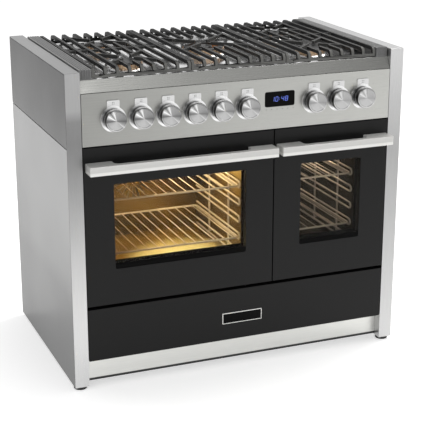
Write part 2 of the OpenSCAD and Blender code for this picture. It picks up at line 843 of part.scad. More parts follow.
// Turned shell with a hub that runs on its spindle; the index line is cut into the face
module knob(i) {
    depth = knob_back_y - knob_face_y;
    edge = 2.5;
    hollow_r = knob_r - knob_wall;
    dish = 1;
    color([0.80, 0.79, 0.76]) translate([knob_x(i), knob_face_y, knob_z]) difference() {
        rotate([-90, 0, 0]) rotate_extrude() polygon([
            [0, dish], [knob_r - 2 * edge, dish], [knob_r - 2 * edge + dish, 0], [knob_r - edge, 0],
            [knob_r - 0.3 * edge, 0.3 * edge], [knob_r, edge], [knob_r, depth - 3], [knob_r - 1, depth],
            [hollow_r, depth], [hollow_r, knob_wall + dish], [hub_r, knob_wall + dish], [hub_r, depth],
            [spindle_r + run_fit, depth], [spindle_r + run_fit, knob_wall + 1.5], [0, knob_wall + 1.5]
        ]);
        block([-0.9, -cut, knob_r * 0.3], [0.9, dish + 0.6, knob_r - 1.5 * edge]);
    }
}

module spindle(i, y1) {
    rod_y(knob_x(i), knob_z, spindle_tip_y, y1, spindle_r);
}

module valve_spindle(i) color([0.75, 0.75, 0.75]) spindle(i, valve_y + spindle_in);

// Brass bodies that clip on the manifold, bored for their spindles
module gas_valves() {
    bore_end = valve_y + spindle_in + push_travel + 2;
    color([0.70, 0.56, 0.30]) for (i = [0 : gas_count - 1]) difference() {
        union() {
            block([knob_x(i) - valve_w / 2, valve_y + valve_neck, manifold_z - valve_w / 2],
                [knob_x(i) + valve_w / 2, manifold_y - manifold_r, manifold_z + valve_w / 2]);
            block([knob_x(i) - valve_w / 2, valve_y + valve_neck, manifold_z + manifold_r + rest_gap],
                [knob_x(i) + valve_w / 2, manifold_y, manifold_z + valve_w / 2]);
            rod_y(knob_x(i), knob_z, valve_y, valve_y + valve_neck, valve_w / 2 - 2);
        }
        rod_y(knob_x(i), knob_z, valve_y - cut, bore_end, spindle_r + run_fit);
    }
}

module oven_switches() {
    neck_r = spindle_r + spindle_space + 3;
    color([0.85, 0.84, 0.80]) for (i = [gas_count : knob_count - 1]) {
        spindle(i, front_y + valve_in);
        rod_y(knob_x(i), knob_z, front_y + sheet, front_y + valve_in, neck_r);
        block([knob_x(i) - switch_w / 2, front_y + valve_in, knob_z - switch_w / 2],
            [knob_x(i) + switch_w / 2, front_y + valve_in + switch_d, knob_z + switch_w / 2]);
    }
}

// Pipe across the cooker with a branch to the inlet at the back
module gas_manifold() {
    x1 = inner_x - frame_t;
    inlet_x = x1 - inlet_side;
    inlet_y = back_y - back_inset + frame_t;
    nut_r = 17;
    color([0.72, 0.72, 0.70]) {
        rod_x(manifold_y, manifold_z, -x1, x1, manifold_r);
        rod_y(inlet_x, manifold_z, manifold_y, inlet_y, manifold_r);
        translate([inlet_x, inlet_y - frame_t, manifold_z]) rotate([90, 0, 0])
            cylinder(h = 12, r = nut_r, $fn = 6);
        rod_y(inlet_x, manifold_z, inlet_y, inlet_y + inlet_len, inlet_r);
    }
}

// Ovens

module cavity_outline(door, grow) {
    x = cavity_x(door);
    rounded_rect([x[0] - grow, cavity_z0 - grow], [x[1] + grow, cavity_z1 + grow], cavity_r + grow);
}

// Enamelled box, open at the front, with a flange behind the chassis plate
module cavity(door) {
    difference() {
        union() {
            along_y(cavity_y0, cavity_y1 + sheet) cavity_outline(door, sheet);
            along_y(cavity_y0, cavity_y0 + sheet) cavity_outline(door, cavity_flange);
        }
        along_y(cavity_y0 - cut, cavity_y1) cavity_outline(door, 0);
    }
}

module main_oven_cavity() color([0.25, 0.23, 0.20]) difference() {
    cavity(DOORS[0]);
    rod_y(fan_x, fan_z, cavity_y1 - cut, cavity_y1 + sheet + cut, shaft_r + spindle_space);
}

module second_oven_cavity() color([0.25, 0.23, 0.20]) cavity(DOORS[1]);

// Seal rings on the chassis plate, round both ovens
module door_seals() {
    gap = 3;
    y0 = front_y + door_t + rest_gap;
    color([0.10, 0.10, 0.10]) for (door = DOORS) along_y(y0, frame_y) difference() {
        cavity_outline(door, gap + seal_t);
        cavity_outline(door, gap);
    }
}

// Wire loop of one shelf place, with its bend at the front; a rack slides in between its two rods
module shelf_loop(x, z, y0, y1) {
    bend = loop_h / 2;
    for (rise = [0, loop_h]) rod_y(x, z + rise, y0 + bend, y1, wire_r);
    translate([x, y0 + bend, z + bend]) rotate([90, 0, 90]) rotate(90)
        rotate_extrude(angle = 180) translate([bend, 0]) circle(wire_r);
}

// Ladder of wire loops on two posts, which hooks hold on the oven wall
module ladder(x_wall, dir) {
    x = x_wall + dir * ladder_off;
    post_x = x - dir * 1.5 * wire_r;
    y0 = cavity_y0 + rack_end;
    y1 = cavity_y1 - rack_end;
    z0 = shelf_z(0) - 2 * wire_r;
    z1 = shelf_z(shelf_count - 1) + loop_h + 2 * wire_r;
    for (i = [0 : shelf_count - 1]) shelf_loop(x, shelf_z(i), y0, y1);
    for (y = [y0 + post_in, y1 - post_in]) {
        translate([post_x, y, z0]) cylinder(h = z1 - z0, r = wire_r);
        for (z = [z0 + 3 * wire_r, z1 - 3 * wire_r])
            rod_x(y, z, min(x_wall, post_x), max(x_wall, post_x), wire_r - 0.5);
    }
}

module shelf_ladders() color([0.75, 0.72, 0.66]) for (door = DOORS) {
    ladder(cavity_x(door)[0], 1);
    ladder(cavity_x(door)[1], -1);
}

// Wire rack lying on one pair of ladder rods: a bent frame with thin cross wires on top
module rack(door, level) {
    z = shelf_z(level) + 2 * wire_r + rest_gap;
    inset = ladder_off + 2;
    x0 = cavity_x(door)[0] + inset;
    x1 = cavity_x(door)[1] - inset;
    y0 = cavity_y0 + rack_end + wire_r;
    y1 = cavity_y1 - rack_end - wire_r;
    count = floor((x1 - x0 - 2 * rack_r) / rack_pitch);
    first = (x0 + x1 - count * rack_pitch) / 2;
    for (y = [y0, y1]) rod_x(y, z, x0 + rack_r, x1 - rack_r, wire_r);
    for (x = [x0, x1]) rod_y(x, z, y0 + rack_r, y1 - rack_r, wire_r);
    for (c = [[x0, y0, 1, 1, 180], [x1, y0, -1, 1, 270], [x1, y1, -1, -1, 0], [x0, y1, 1, -1, 90]])
        translate([c[0] + c[2] * rack_r, c[1] + c[3] * rack_r, z]) rotate(c[4]) rotate_extrude(angle = 90)
            translate([rack_r, 0]) circle(wire_r);
    for (i = [0 : count])
        translate([first + i * rack_pitch, y1 + wire_r / 2, z + wire_r * 0.8]) rotate([90, 0, 0])
            cylinder(h = y1 - y0 + wire_r, r = thin_wire_r, $fn = 8);
}

module oven_racks() color([0.80, 0.78, 0.72]) {
    for (door = DOORS, level = racks) rack(door, level);
}

// Blades on a round plate that turns on the motor's shaft
module convection_fan() {
    plate = 1.5;
    y1 = cavity_y1 - 4;
    color([0.70, 0.70, 0.70]) translate([fan_x, y1, fan_z]) rotate([90, 0, 0]) difference() {
        union() {
            cylinder(h = plate, r = fan_r);
            cylinder(h = fan_d, r = shaft_r + 5);
            for (i = [0 : fan_blades - 1]) rotate(i * 360 / fan_blades)
                translate([fan_r * 0.55, 0, 0]) rotate(25) cube([fan_r * 0.4, plate, fan_d]);
        }
        translate([0, 0, -cut]) cylinder(h = fan_d + 2 * cut, r = shaft_r + run_fit);
    }
}

// Pressed box over the fan, with a ring of slots in front of it
module fan_cover() {
    y0 = cavity_y1 - cover_d;
    slots = 20;
    color([0.30, 0.28, 0.25]) difference() {
        front_tray([fan_x - cover_half, y0, fan_z - cover_half],
            [fan_x + cover_half, cavity_y1, fan_z + cover_half], sheet);
        for (i = [0 : slots - 1]) translate([fan_x, y0 - cut, fan_z]) rotate([0, i * 360 / slots, 0])
            translate([fan_r * 0.35, 0, -2]) cube([fan_r * 0.5, sheet + 2 * cut, 4]);
    }
}

module fan_motor() {
    y0 = cavity_y1 + sheet;
    len = 60;
    color([0.45, 0.45, 0.47]) {
        rod_y(fan_x, fan_z, cavity_y1 - fan_d - 2, y0 + len, shaft_r);
        rod_y(fan_x, fan_z, y0, y0 + len, motor_r);
        block([fan_x - motor_r - 14, y0, fan_z - 8], [fan_x + motor_r + 14, y0 + 3, fan_z + 8]);
    }
}

// A tube that runs forward, across and back, seen from above
module hairpin(x0, x1, y0, y1, z) {
    bend = 5 * tube_r;
    rod_y(x0, z, y0 + bend, y1, tube_r);
    rod_y(x1, z, y0 + bend, y1, tube_r);
    rod_x(y0, z, x0 + bend, x1 - bend, tube_r);
    for (side = [[x0 + bend, 180], [x1 - bend, 270]]) translate([side[0], y0 + bend, z]) rotate(side[1])
        rotate_extrude(angle = 90) translate([bend, 0]) circle(tube_r);
}

module heating_elements() {
    inset = 60;
    inner_inset = 105;
    y0 = cavity_y0 + inset;
    ring_y = cavity_y1 - 12;
    ring_r = fan_r + 18;
    color([0.20, 0.18, 0.17]) {
        for (door = DOORS) {
            x = cavity_x(door);
            hairpin(x[0] + inset, x[1] - inset, y0, cavity_y1, cavity_z1 - grill_drop);
        }
        x = cavity_x(DOORS[0]);
        hairpin(x[0] + inner_inset, x[1] - inner_inset,
            cavity_y0 + inner_inset, cavity_y1, cavity_z1 - grill_drop);
        translate([fan_x, ring_y, fan_z]) rotate([90, 0, 0]) rotate_extrude()
            translate([ring_r, 0]) circle(tube_r);
        for (side = [-1, 1]) rod_y(fan_x + side * ring_r, fan_z, ring_y, cavity_y1, tube_r - 0.5);
    }
}

// Glass covers of the oven lamps, on the rear walls
module oven_lamps() {
    dome = 14;
    inset = lamp_r + 20;
    color([1.0, 0.90, 0.60]) for (door = DOORS)
        translate([cavity_x(door)[1] - inset, cavity_y1, cavity_z1 - inset - grill_drop]) rotate([90, 0, 0])
            rotate_extrude() polygon([
                [0, 0], [lamp_r, 0], [lamp_r, 4], [lamp_r - 4, dome - 3], [lamp_r - 9, dome], [0, dome]
            ]);
}

// Doors

module window_outline(door, grow) {
    rounded_rect([door.x + window_side - grow, door_bottom + window_low - grow],
        [door.y - window_side + grow, door_top - window_high + grow], window_r);
}

// Space for the hinge lugs, cut into the lower edge of a door
module hinge_notches(door) {
    half = lug_w / 2 + lug_side;
    for (x = hinge_places(door))
        block([x - half, front_y + sheet + 0.5, door_bottom - cut], [x + half, frame_y, hinge_z + notch_h]);
}

module door_panel(door) {
    color([0.19, 0.19, 0.18]) difference() {
        front_tray([door.x, front_y, door_bottom], [door.y, front_y + door_fold, door_top], sheet);
        along_y(front_y - cut, front_y + sheet + cut) window_outline(door, 0);
        hinge_notches(door);
    }
}

// Inner shell with the window shaft, the bearing blocks and the hinge pins
module door_liner(door) {
    back = front_y + door_t;
    y0 = front_y + door_fold;
    seat = glass_lap / 2;
    lap = 1;
    half = lug_w / 2 + lug_side;
    color([0.45, 0.45, 0.45]) {
        difference() {
            union() {
                difference() {
                    block([door.x + lap, y0, door_bottom + lap], [door.y - lap, back, door_top - lap]);
                    block([door.x + lap + sheet, y0 - cut, door_bottom + lap + sheet],
                        [door.y - lap - sheet, back - sheet, door_top - lap - sheet]);
                }
                along_y(front_y + sheet + glass_t, back) window_outline(door, seat + sheet);
            }
            along_y(front_y, back - sheet) window_outline(door, seat);
            along_y(front_y, back + cut) window_outline(door, 0);
            hinge_notches(door);
        }
        for (x = hinge_places(door)) {
            for (side = [-1, 1]) {
                near = x + side * half;
                far = x + side * (half + bearing_w);
                block([min(near, far), front_y + sheet, door_bottom + sheet],
                    [max(near, far), back - sheet, hinge_z + notch_h]);
            }
            rod_x(hinge_y, hinge_z, x - half - cut, x + half + cut, pin_r);
        }
    }
}

module door_glass(door) {
    back = front_y + door_t;
    color([0.10, 0.09, 0.08, 0.6]) {
        along_y(front_y + sheet, front_y + sheet + glass_t) window_outline(door, glass_lap);
        along_y(back - sheet - glass_t, back - sheet) window_outline(door, glass_lap / 2 - rest_gap);
    }
}

// Flat bar with deep end blocks, cut in one outline seen from above
module door_handle(door) {
    x0 = door.x + handle_inset;
    x1 = door.y - handle_inset;
    y0 = front_y - handle_reach;
    color([0.80, 0.80, 0.80]) translate([0, 0, handle_z0]) linear_extrude(bar_h) difference() {
        union() {
            rounded_rect([x0, y0], [x1, front_y], bar_r);
            translate([x0, front_y - 2 * bar_r]) square([x1 - x0, 2 * bar_r]);
        }
        rounded_rect([x0 + end_block_w, y0 + bar_d], [x1 - end_block_w, front_y + handle_r + cut], handle_r);
    }
}

module left_door_panel() door_panel(DOORS[0]);
module left_door_liner() door_liner(DOORS[0]);
module left_door_glass() door_glass(DOORS[0]);
module left_door_handle() door_handle(DOORS[0]);
module right_door_panel() door_panel(DOORS[1]);
module right_door_liner() door_liner(DOORS[1]);
module right_door_glass() door_glass(DOORS[1]);
module right_door_handle() door_handle(DOORS[1]);

// Drawer

// Tray whose folded rim turns inwards, so that the drawer box is screwed to it
module drawer_front() {
    y1 = front_y + front_fold;
    rim = drawer_bottom + front_rim;
    color([0.19, 0.19, 0.18]) {
        front_tray([left_x0, front_y, drawer_bottom], [right_x1, y1, drawer_top], sheet);
        difference() {
            block([left_x0, y1 - sheet, drawer_bottom], [right_x1, y1, drawer_top]);
            block([left_x0 + front_rim, y1 - sheet - cut, rim],
                [right_x1 - front_rim, y1 + cut, drawer_top - front_rim]);
        }
    }
}

// Sheet box behind the drawer front, with a slide bar on each side
module drawer_box() {
    lo = [-box_x, box_y0, box_z0];
    hi = [box_x, box_y0 + box_len, box_z0 + box_h];
    color([0.60, 0.60, 0.60]) {
        difference() {
            block(lo, hi);
            block(lo + [sheet, sheet, sheet], hi + [-sheet, -sheet, cut]);
        }
        both_sides() block([-box_x - slide_w, box_y0 + 30, slide_z], [-box_x, hi.y, slide_z + bar_rise]);
    }
}

// Channels fixed to the chassis sides, round the drawer's slide bars
module drawer_runners() {
    wall = 2;
    x_out = box_x + slide_w + slide_fit;
    x_in = box_x + 2;
    y0 = frame_y + frame_t;
    y1 = box_y0 + box_len + 5;
    z0 = slide_z - slide_fit;
    z1 = slide_z + bar_rise + slide_fit;
    color([0.65, 0.65, 0.65]) both_sides() {
        difference() {
            block([-x_out - wall, y0, z0 - wall], [-x_in, y1, z1 + wall]);
            block([-x_out, y0 - cut, z0], [-x_in + cut, y1 + cut, z1]);
        }
        for (y = [y0 + 20, y1 - 60]) block([frame_t - inner_x, y, z0], [-x_out - wall, y + 40, z1]);
    }
}

// Assembly

side_trim_left();
side_trim_right();
upper_side_panels();
lower_side_panels();
back_panel();
base_pan();
plinth();
levelling_feet();
chassis();
hob_top();
side_rails();
grate_left();
grate_middle();
grate_right();
burner_cups();
burner_heads();
burner_caps();
ignition_electrodes();
burner_pipes();
control_panel();
clock();
knob_bezels();
knob(0);  // gas_knob_1
knob(1);  // gas_knob_2
knob(2);  // gas_knob_3
knob(3);  // gas_knob_4
knob(4);  // gas_knob_5
knob(5);  // oven_knob_1
knob(6);  // oven_knob_2
knob(7);  // oven_knob_3
knob(8);  // oven_knob_4
valve_spindle(0);  // valve_spindle_1
valve_spindle(1);  // valve_spindle_2
valve_spindle(2);  // valve_spindle_3
valve_spindle(3);  // valve_spindle_4
valve_spindle(4);  // valve_spindle_5
gas_valves();
oven_switches();
gas_manifold();
main_oven_cavity();
second_oven_cavity();
door_seals();
shelf_ladders();
oven_racks();
convection_fan();
fan_cover();
fan_motor();
heating_elements();
oven_lamps();
left_door_panel();
left_door_liner();
left_door_glass();
left_door_handle();
right_door_panel();
right_door_liner();
right_door_glass();
right_door_handle();
drawer_front();
drawer_box();
drawer_runners();
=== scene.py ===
import json
import math

import bpy
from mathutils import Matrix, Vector


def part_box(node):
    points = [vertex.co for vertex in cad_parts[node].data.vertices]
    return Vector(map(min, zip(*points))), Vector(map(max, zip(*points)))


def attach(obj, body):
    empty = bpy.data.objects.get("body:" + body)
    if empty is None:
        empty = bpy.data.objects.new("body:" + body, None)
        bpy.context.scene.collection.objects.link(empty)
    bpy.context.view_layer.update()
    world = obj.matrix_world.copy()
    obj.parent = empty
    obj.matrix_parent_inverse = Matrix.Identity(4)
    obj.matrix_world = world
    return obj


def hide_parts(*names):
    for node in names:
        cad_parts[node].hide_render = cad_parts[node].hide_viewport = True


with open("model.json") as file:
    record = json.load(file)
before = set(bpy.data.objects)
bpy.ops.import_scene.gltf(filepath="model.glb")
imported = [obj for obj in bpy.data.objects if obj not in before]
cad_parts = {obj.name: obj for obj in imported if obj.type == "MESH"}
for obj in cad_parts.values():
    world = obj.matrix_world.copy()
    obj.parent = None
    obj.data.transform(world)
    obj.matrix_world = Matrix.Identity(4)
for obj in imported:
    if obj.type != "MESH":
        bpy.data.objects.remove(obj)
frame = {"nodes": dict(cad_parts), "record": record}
bpy.ops.object.select_all(action="DESELECT")
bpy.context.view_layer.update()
print("frame loaded:", len(frame["nodes"]), "nodes")

scene = bpy.context.scene
scene.view_settings.view_transform = "Standard"
bodyOf = {}
for bodyName, members in frame["record"]["behaviour"]["bodies"].items():
    for memberName in members:
        bodyOf[memberName] = bodyName
slotOf = {row["node"]: row["material_slot"] for row in frame["record"]["subparts"]}


# Shader helpers

def feed(tree, socket, value):
    # A node's output is linked in, and a plain value is set
    if isinstance(value, bpy.types.NodeSocket):
        tree.links.new(value, socket)
    else:
        socket.default_value = value


def rangeNode(tree, value, low, high, outLow, outHigh):
    node = tree.nodes.new("ShaderNodeMapRange")
    labels = ("Value", "From Min", "From Max", "To Min", "To Max")
    for label, given in zip(labels, (value, low, high, outLow, outHigh)):
        feed(tree, node.inputs[label], given)
    return node.outputs["Result"]


def mathNode(tree, operation, a, b=0.0):
    node = tree.nodes.new("ShaderNodeMath")
    node.operation = operation
    feed(tree, node.inputs[0], a)
    feed(tree, node.inputs[1], b)
    return node.outputs[0]


def axisParts(tree, vector):
    parts = tree.nodes.new("ShaderNodeSeparateXYZ")
    tree.links.new(vector, parts.inputs[0])
    return parts.outputs


def vectorLength(tree, vector):
    node = tree.nodes.new("ShaderNodeVectorMath")
    node.operation = "LENGTH"
    tree.links.new(vector, node.inputs[0])
    return node.outputs["Value"]


# Stage: camera, floor, lamps and a white background

camera = {
    "azimuth": -21.9,      # degrees, seen from the left
    "elevation": 17.8,
    "distance": 3.79,
    "lens": 107.6,
    "target": (0.0, -0.057, 0.401),
}

lamps = {
    "keyLamp": {"place": (1.9, 0.5, 3.1), "size": 2.2, "power": 85, "colour": (1.0, 0.99, 0.97)},
    "fillLamp": {"place": (-2.6, -2.6, 2.4), "size": 2.6, "power": 14, "colour": (0.98, 0.99, 1.0)},
}
lampAim = (0, 0, 0.45)     # the middle of the cooker

backdrop = {
    "floorColour": (0.88, 0.88, 0.88, 1),
    "floorRadius": 9,
    "floorGlow": 0.62,          # makes the lit floor plain white, and leaves it the shadow
    "shadowedNearGlow": 0.50,           # less glow beside the cooker, a painted shadow round it
    "glowReach": (0.50, 0.72),  # metres from the middle over which the one becomes the other
    "skyLight": 0.50,           # on matt surfaces
    "skyLow": 0.95,             # in mirrors, at the horizon
    "skyHigh": 0.45,            # in mirrors, overhead
    "skyFade": (0.05, 0.75),    # upward share of the direction over which the one becomes the other
}


def addCamera():
    azimuth = math.radians(camera["azimuth"])
    elevation = math.radians(camera["elevation"])
    back = Vector((
        math.sin(azimuth) * math.cos(elevation),
        -math.cos(azimuth) * math.cos(elevation),
        math.sin(elevation),
    ))
    data = bpy.data.cameras.new("camera")
    data.lens = camera["lens"]
    data.clip_end = 60
    eye = bpy.data.objects.new("camera", data)
    scene.collection.objects.link(eye)
    eye.location = Vector(camera["target"]) + back * camera["distance"]
    eye.rotation_euler = (-back).to_track_quat("-Z", "Y").to_euler()
    scene.camera = eye


def addLamps():
    for name, lamp in lamps.items():
        data = bpy.data.lights.new(name, "AREA")
        data.shape = "DISK"
        data.size = lamp["size"]
        data.energy = lamp["power"]
        data.color = lamp["colour"]
        obj = bpy.data.objects.new(name, data)
        scene.collection.objects.link(obj)
        obj.location = lamp["place"]
        aim = Vector(lampAim) - obj.location
        obj.rotation_euler = aim.to_track_quat("-Z", "Y").to_euler()


def eitherRay(tree, *kinds):
    # 1 for rays of any of these kinds
    path = tree.nodes.new("ShaderNodeLightPath")
    value = path.outputs[kinds[0]]
    for kind in kinds[1:]:
        value = mathNode(tree, "MAXIMUM", value, path.outputs[kind])
    return value


def mixShader(tree, share, a, b):
    mix = tree.nodes.new("ShaderNodeMixShader")
    for index, socket in enumerate((share, a, b)):
        tree.links.new(socket, mix.inputs[index])
    return mix.outputs[0]


def skyColour(tree):
    # Pale at the horizon and darker overhead, as a studio is
    place = tree.nodes.new("ShaderNodeTexCoord")
    height = axisParts(tree, place.outputs["Generated"])["Z"]
    return rangeNode(tree, height, *backdrop["skyFade"], backdrop["skyLow"], backdrop["skyHigh"])


def addSky():
    world = bpy.data.worlds.new("studio")
    scene.world = world
    world.use_nodes = True
    tree = world.node_tree
    tree.nodes.clear()
    matt = tree.nodes.new("ShaderNodeBackground")
    matt.inputs["Strength"].default_value = backdrop["skyLight"]
    mirrored = tree.nodes.new("ShaderNodeBackground")
    tree.links.new(skyColour(tree), mirrored.inputs["Strength"])
    seen = tree.nodes.new("ShaderNodeBackground")
    for node in (matt, mirrored, seen):
        node.inputs["Color"].default_value = (1, 1, 1, 1)
    inside = mixShader(tree, eitherRay(tree, "Is Glossy Ray"), matt.outputs[0], mirrored.outputs[0])
    seenRay = eitherRay(tree, "Is Camera Ray", "Is Transmission Ray")
    whole = mixShader(tree, seenRay, inside, seen.outputs[0])
    out = tree.nodes.new("ShaderNodeOutputWorld")
    tree.links.new(whole, out.inputs["Surface"])


def addFloor():
    bpy.ops.mesh.primitive_circle_add(
        vertices=64, radius=backdrop["floorRadius"], fill_type="NGON", location=(0, 0, 0),
    )
    floor = bpy.context.object
    floor.name = "floor"
    material = bpy.data.materials.new("floor")
    material.use_nodes = True
    tree = material.node_tree
    tree.nodes.clear()
    matt = tree.nodes.new("ShaderNodeBsdfDiffuse")
    matt.inputs["Color"].default_value = backdrop["floorColour"]
    place = tree.nodes.new("ShaderNodeTexCoord")
    far = vectorLength(tree, place.outputs["Object"])
    # The glow is weaker beside the cooker, which paints a shadow round it
    strength = rangeNode(tree, far, *backdrop["glowReach"], backdrop["shadowedNearGlow"], backdrop["floorGlow"])
    seen = eitherRay(tree, "Is Camera Ray", "Is Glossy Ray", "Is Transmission Ray")
    glow = tree.nodes.new("ShaderNodeEmission")
    tree.links.new(mathNode(tree, "MULTIPLY", seen, strength), glow.inputs["Strength"])
    both = tree.nodes.new("ShaderNodeAddShader")
    out = tree.nodes.new("ShaderNodeOutputMaterial")
    tree.links.new(matt.outputs[0], both.inputs[0])
    tree.links.new(glow.outputs[0], both.inputs[1])
    tree.links.new(both.outputs[0], out.inputs["Surface"])
    floor.data.materials.append(material)


addCamera()
addLamps()
addSky()
addFloor()
print("stage set")


# Shared shader effects

surfaceInputs = [
    ("Light Colour", "NodeSocketColor", (0.6, 0.6, 0.6, 1)), ("Dark Colour", "NodeSocketColor", (0.5, 0.5, 0.5, 1)),
    ("Low Roughness", "NodeSocketFloat", 0.3), ("High Roughness", "NodeSocketFloat", 0.5),
]
surfaceOutputs = [("Colour", "NodeSocketColor"), ("Roughness", "NodeSocketFloat"), ("Height", "NodeSocketFloat")]


def newGroup(name, inputs):
    # Each effect takes two colours and two roughnesses, and gives a colour, a roughness and a height
    group = bpy.data.node_groups.new(name, "ShaderNodeTree")
    for label, kind, value in inputs + surfaceInputs:
        socket = group.interface.new_socket(label, in_out="INPUT", socket_type=kind)
        if value is not None:
            socket.default_value = value
    for label, kind in surfaceOutputs:
        group.interface.new_socket(label, in_out="OUTPUT", socket_type=kind)
    return group, group.nodes.new("NodeGroupInput").outputs, group.nodes.new("NodeGroupOutput").inputs


def noiseNode(tree, vector, scale, detail, roughness):
    noise = tree.nodes.new("ShaderNodeTexNoise")
    tree.links.new(vector, noise.inputs["Vector"])
    feed(tree, noise.inputs["Scale"], scale)
    noise.inputs["Detail"].default_value = detail
    noise.inputs["Roughness"].default_value = roughness
    return noise.outputs["Fac"]


def mixColour(tree, share, a, b, blend="MIX"):
    node = tree.nodes.new("ShaderNodeMix")
    node.data_type = "RGBA"
    node.blend_type = blend
    for index, value in ((0, share), (6, a), (7, b)):
        feed(tree, node.inputs[index], value)
    return node.outputs[2]


def mixValue(tree, share, a, b):
    node = tree.nodes.new("ShaderNodeMix")
    for index, value in ((0, share), (2, a), (3, b)):
        feed(tree, node.inputs[index], value)
    return node.outputs[0]


def tinted(tree, colour, tint):
    return mixColour(tree, 1.0, colour, tint, "MULTIPLY")


def weighted(tree, a, share, b):
    return mathNode(tree, "ADD", mathNode(tree, "MULTIPLY", a, share), mathNode(tree, "MULTIPLY", b, 1 - share))


def endGroup(group, given, result, tone, wear, height):
    # tone and wear are a value, and the two ends of its range
    colour = mixColour(group, rangeNode(group, *tone, 0.0, 1.0), given["Dark Colour"], given["Light Colour"])
    rough = rangeNode(group, *wear, given["Low Roughness"], given["High Roughness"])
    for label, value in (("Colour", colour), ("Roughness", rough), ("Height", height)):
        group.links.new(value, result[label])


def makeGrainGroup():
    # Fine parallel scratches of brushed metal, with faint smudges
    group, given, result = newGroup(
        "brushedGrain", [("Grain Vector", "NodeSocketVector", None), ("Plain Vector", "NodeSocketVector", None)],
    )
    grain = noiseNode(group, given["Grain Vector"], 1.0, 4, 0.6)
    smudge = noiseNode(group, given["Plain Vector"], 3.2, 2, 0.5)
    worn = weighted(group, grain, 0.6, smudge)
    endGroup(group, given, result, (grain, 0.32, 0.68), (worn, 0.3, 0.7), grain)
    return group


def makeSpeckGroup():
    # Grain of paint, enamel, plastic and castings: a mottled colour and a fine uneven surface
    group, given, result = newGroup(
        "speckledCoat", [("Vector", "NodeSocketVector", None), ("Scale", "NodeSocketFloat", 300.0)],
    )
    fine = noiseNode(group, given["Vector"], given["Scale"], 3, 0.5)
    broad = noiseNode(group, given["Vector"], 6.0, 3, 0.55)
    both = weighted(group, fine, 0.45, broad)
    endGroup(group, given, result, (both, 0.35, 0.65), (both, 0.35, 0.65), fine)
    return group


grainGroup = makeGrainGroup()
speckGroup = makeSpeckGroup()


# Materials. A relief is a depth in metres and a strength; a roughness pair is the lowest and the highest

def newMaterial(name):
    material = bpy.data.materials.new(name)
    material.use_nodes = True
    tree = material.node_tree
    shader = tree.nodes["Principled BSDF"]
    place = tree.nodes.new("ShaderNodeTexCoord").outputs["Object"]
    return material, tree, shader, place


def grey(level, warm=0.0):
    return (level * (1 + warm), level, level * (1 - warm), 1)


def scaled(tree, vector, scale):
    mapping = tree.nodes.new("ShaderNodeMapping")
    mapping.inputs["Scale"].default_value = scale
    tree.links.new(vector, mapping.inputs["Vector"])
    return mapping.outputs["Vector"]


def dress(tree, shader, group, relief, metallic, **values):
    # Joins a shared effect to the shader of one material
    node = tree.nodes.new("ShaderNodeGroup")
    node.node_tree = group
    for label, value in values.items():
        feed(tree, node.inputs[label.replace("_", " ")], value)
    bump = tree.nodes.new("ShaderNodeBump")
    bump.inputs["Distance"].default_value, bump.inputs["Strength"].default_value = relief
    tree.links.new(node.outputs["Height"], bump.inputs["Height"])
    tree.links.new(bump.outputs["Normal"], shader.inputs["Normal"])
    tree.links.new(node.outputs["Colour"], shader.inputs["Base Color"])
    tree.links.new(node.outputs["Roughness"], shader.inputs["Roughness"])
    shader.inputs["Metallic"].default_value = metallic
    return node


sheetGrain = {
    "across": 1400, "along": 16,    # fineness of the pattern across the scratches and along them
    "shade": 0.10,                  # how much darker a scratch is
    "relief": (0.00004, 0.25),
    "fineRelief": (0.00003, 0.15),
    "smoother": 0.05, "rougher": 0.07,
}
coatGrain = {"depth": 0.0002, "smoother": 0.05, "rougher": 0.06}


def brushed(tree, shader, place, pattern, colour, roughness, relief, metallic=1.0):
    return dress(
        tree, shader, grainGroup, relief, metallic, Grain_Vector=pattern, Plain_Vector=place, Light_Colour=colour,
        Dark_Colour=mixColour(tree, sheetGrain["shade"], colour, grey(0.0)),
        Low_Roughness=roughness[0], High_Roughness=roughness[1],
    )


def mottled(tree, shader, place, scale, light, dark, roughness, strength, metallic=0.0):
    return dress(
        tree, shader, speckGroup, (coatGrain["depth"], strength), metallic, Vector=place, Scale=scale,
        Light_Colour=light, Dark_Colour=dark, Low_Roughness=roughness[0], High_Roughness=roughness[1],
    )


def coated(name, light, dark, roughness, scale=300, strength=0.2, metallic=0.0, specular=0.5):
    # Paint, plastic, enamel or cast metal of one tone
    material, tree, shader, place = newMaterial(name)
    ends = (roughness - coatGrain["smoother"], roughness + coatGrain["rougher"])
    mottled(tree, shader, place, scale, light, dark, ends, strength, metallic)
    shader.inputs["Specular IOR Level"].default_value = specular
    return material


def levelRamp(tree, value, stops):
    # Grey levels along a value, from (place, level) pairs
    node = tree.nodes.new("ShaderNodeValToRGB")
    ramp = node.color_ramp
    ramp.elements[0].position, ramp.elements[1].position = stops[0][0], stops[-1][0]
    ramp.elements[0].color, ramp.elements[1].color = grey(stops[0][1]), grey(stops[-1][1])
    for spot, level in stops[1:-1]:
        ramp.elements.new(spot).color = grey(level)
    tree.links.new(value, node.inputs["Fac"])
    return node.outputs["Color"]


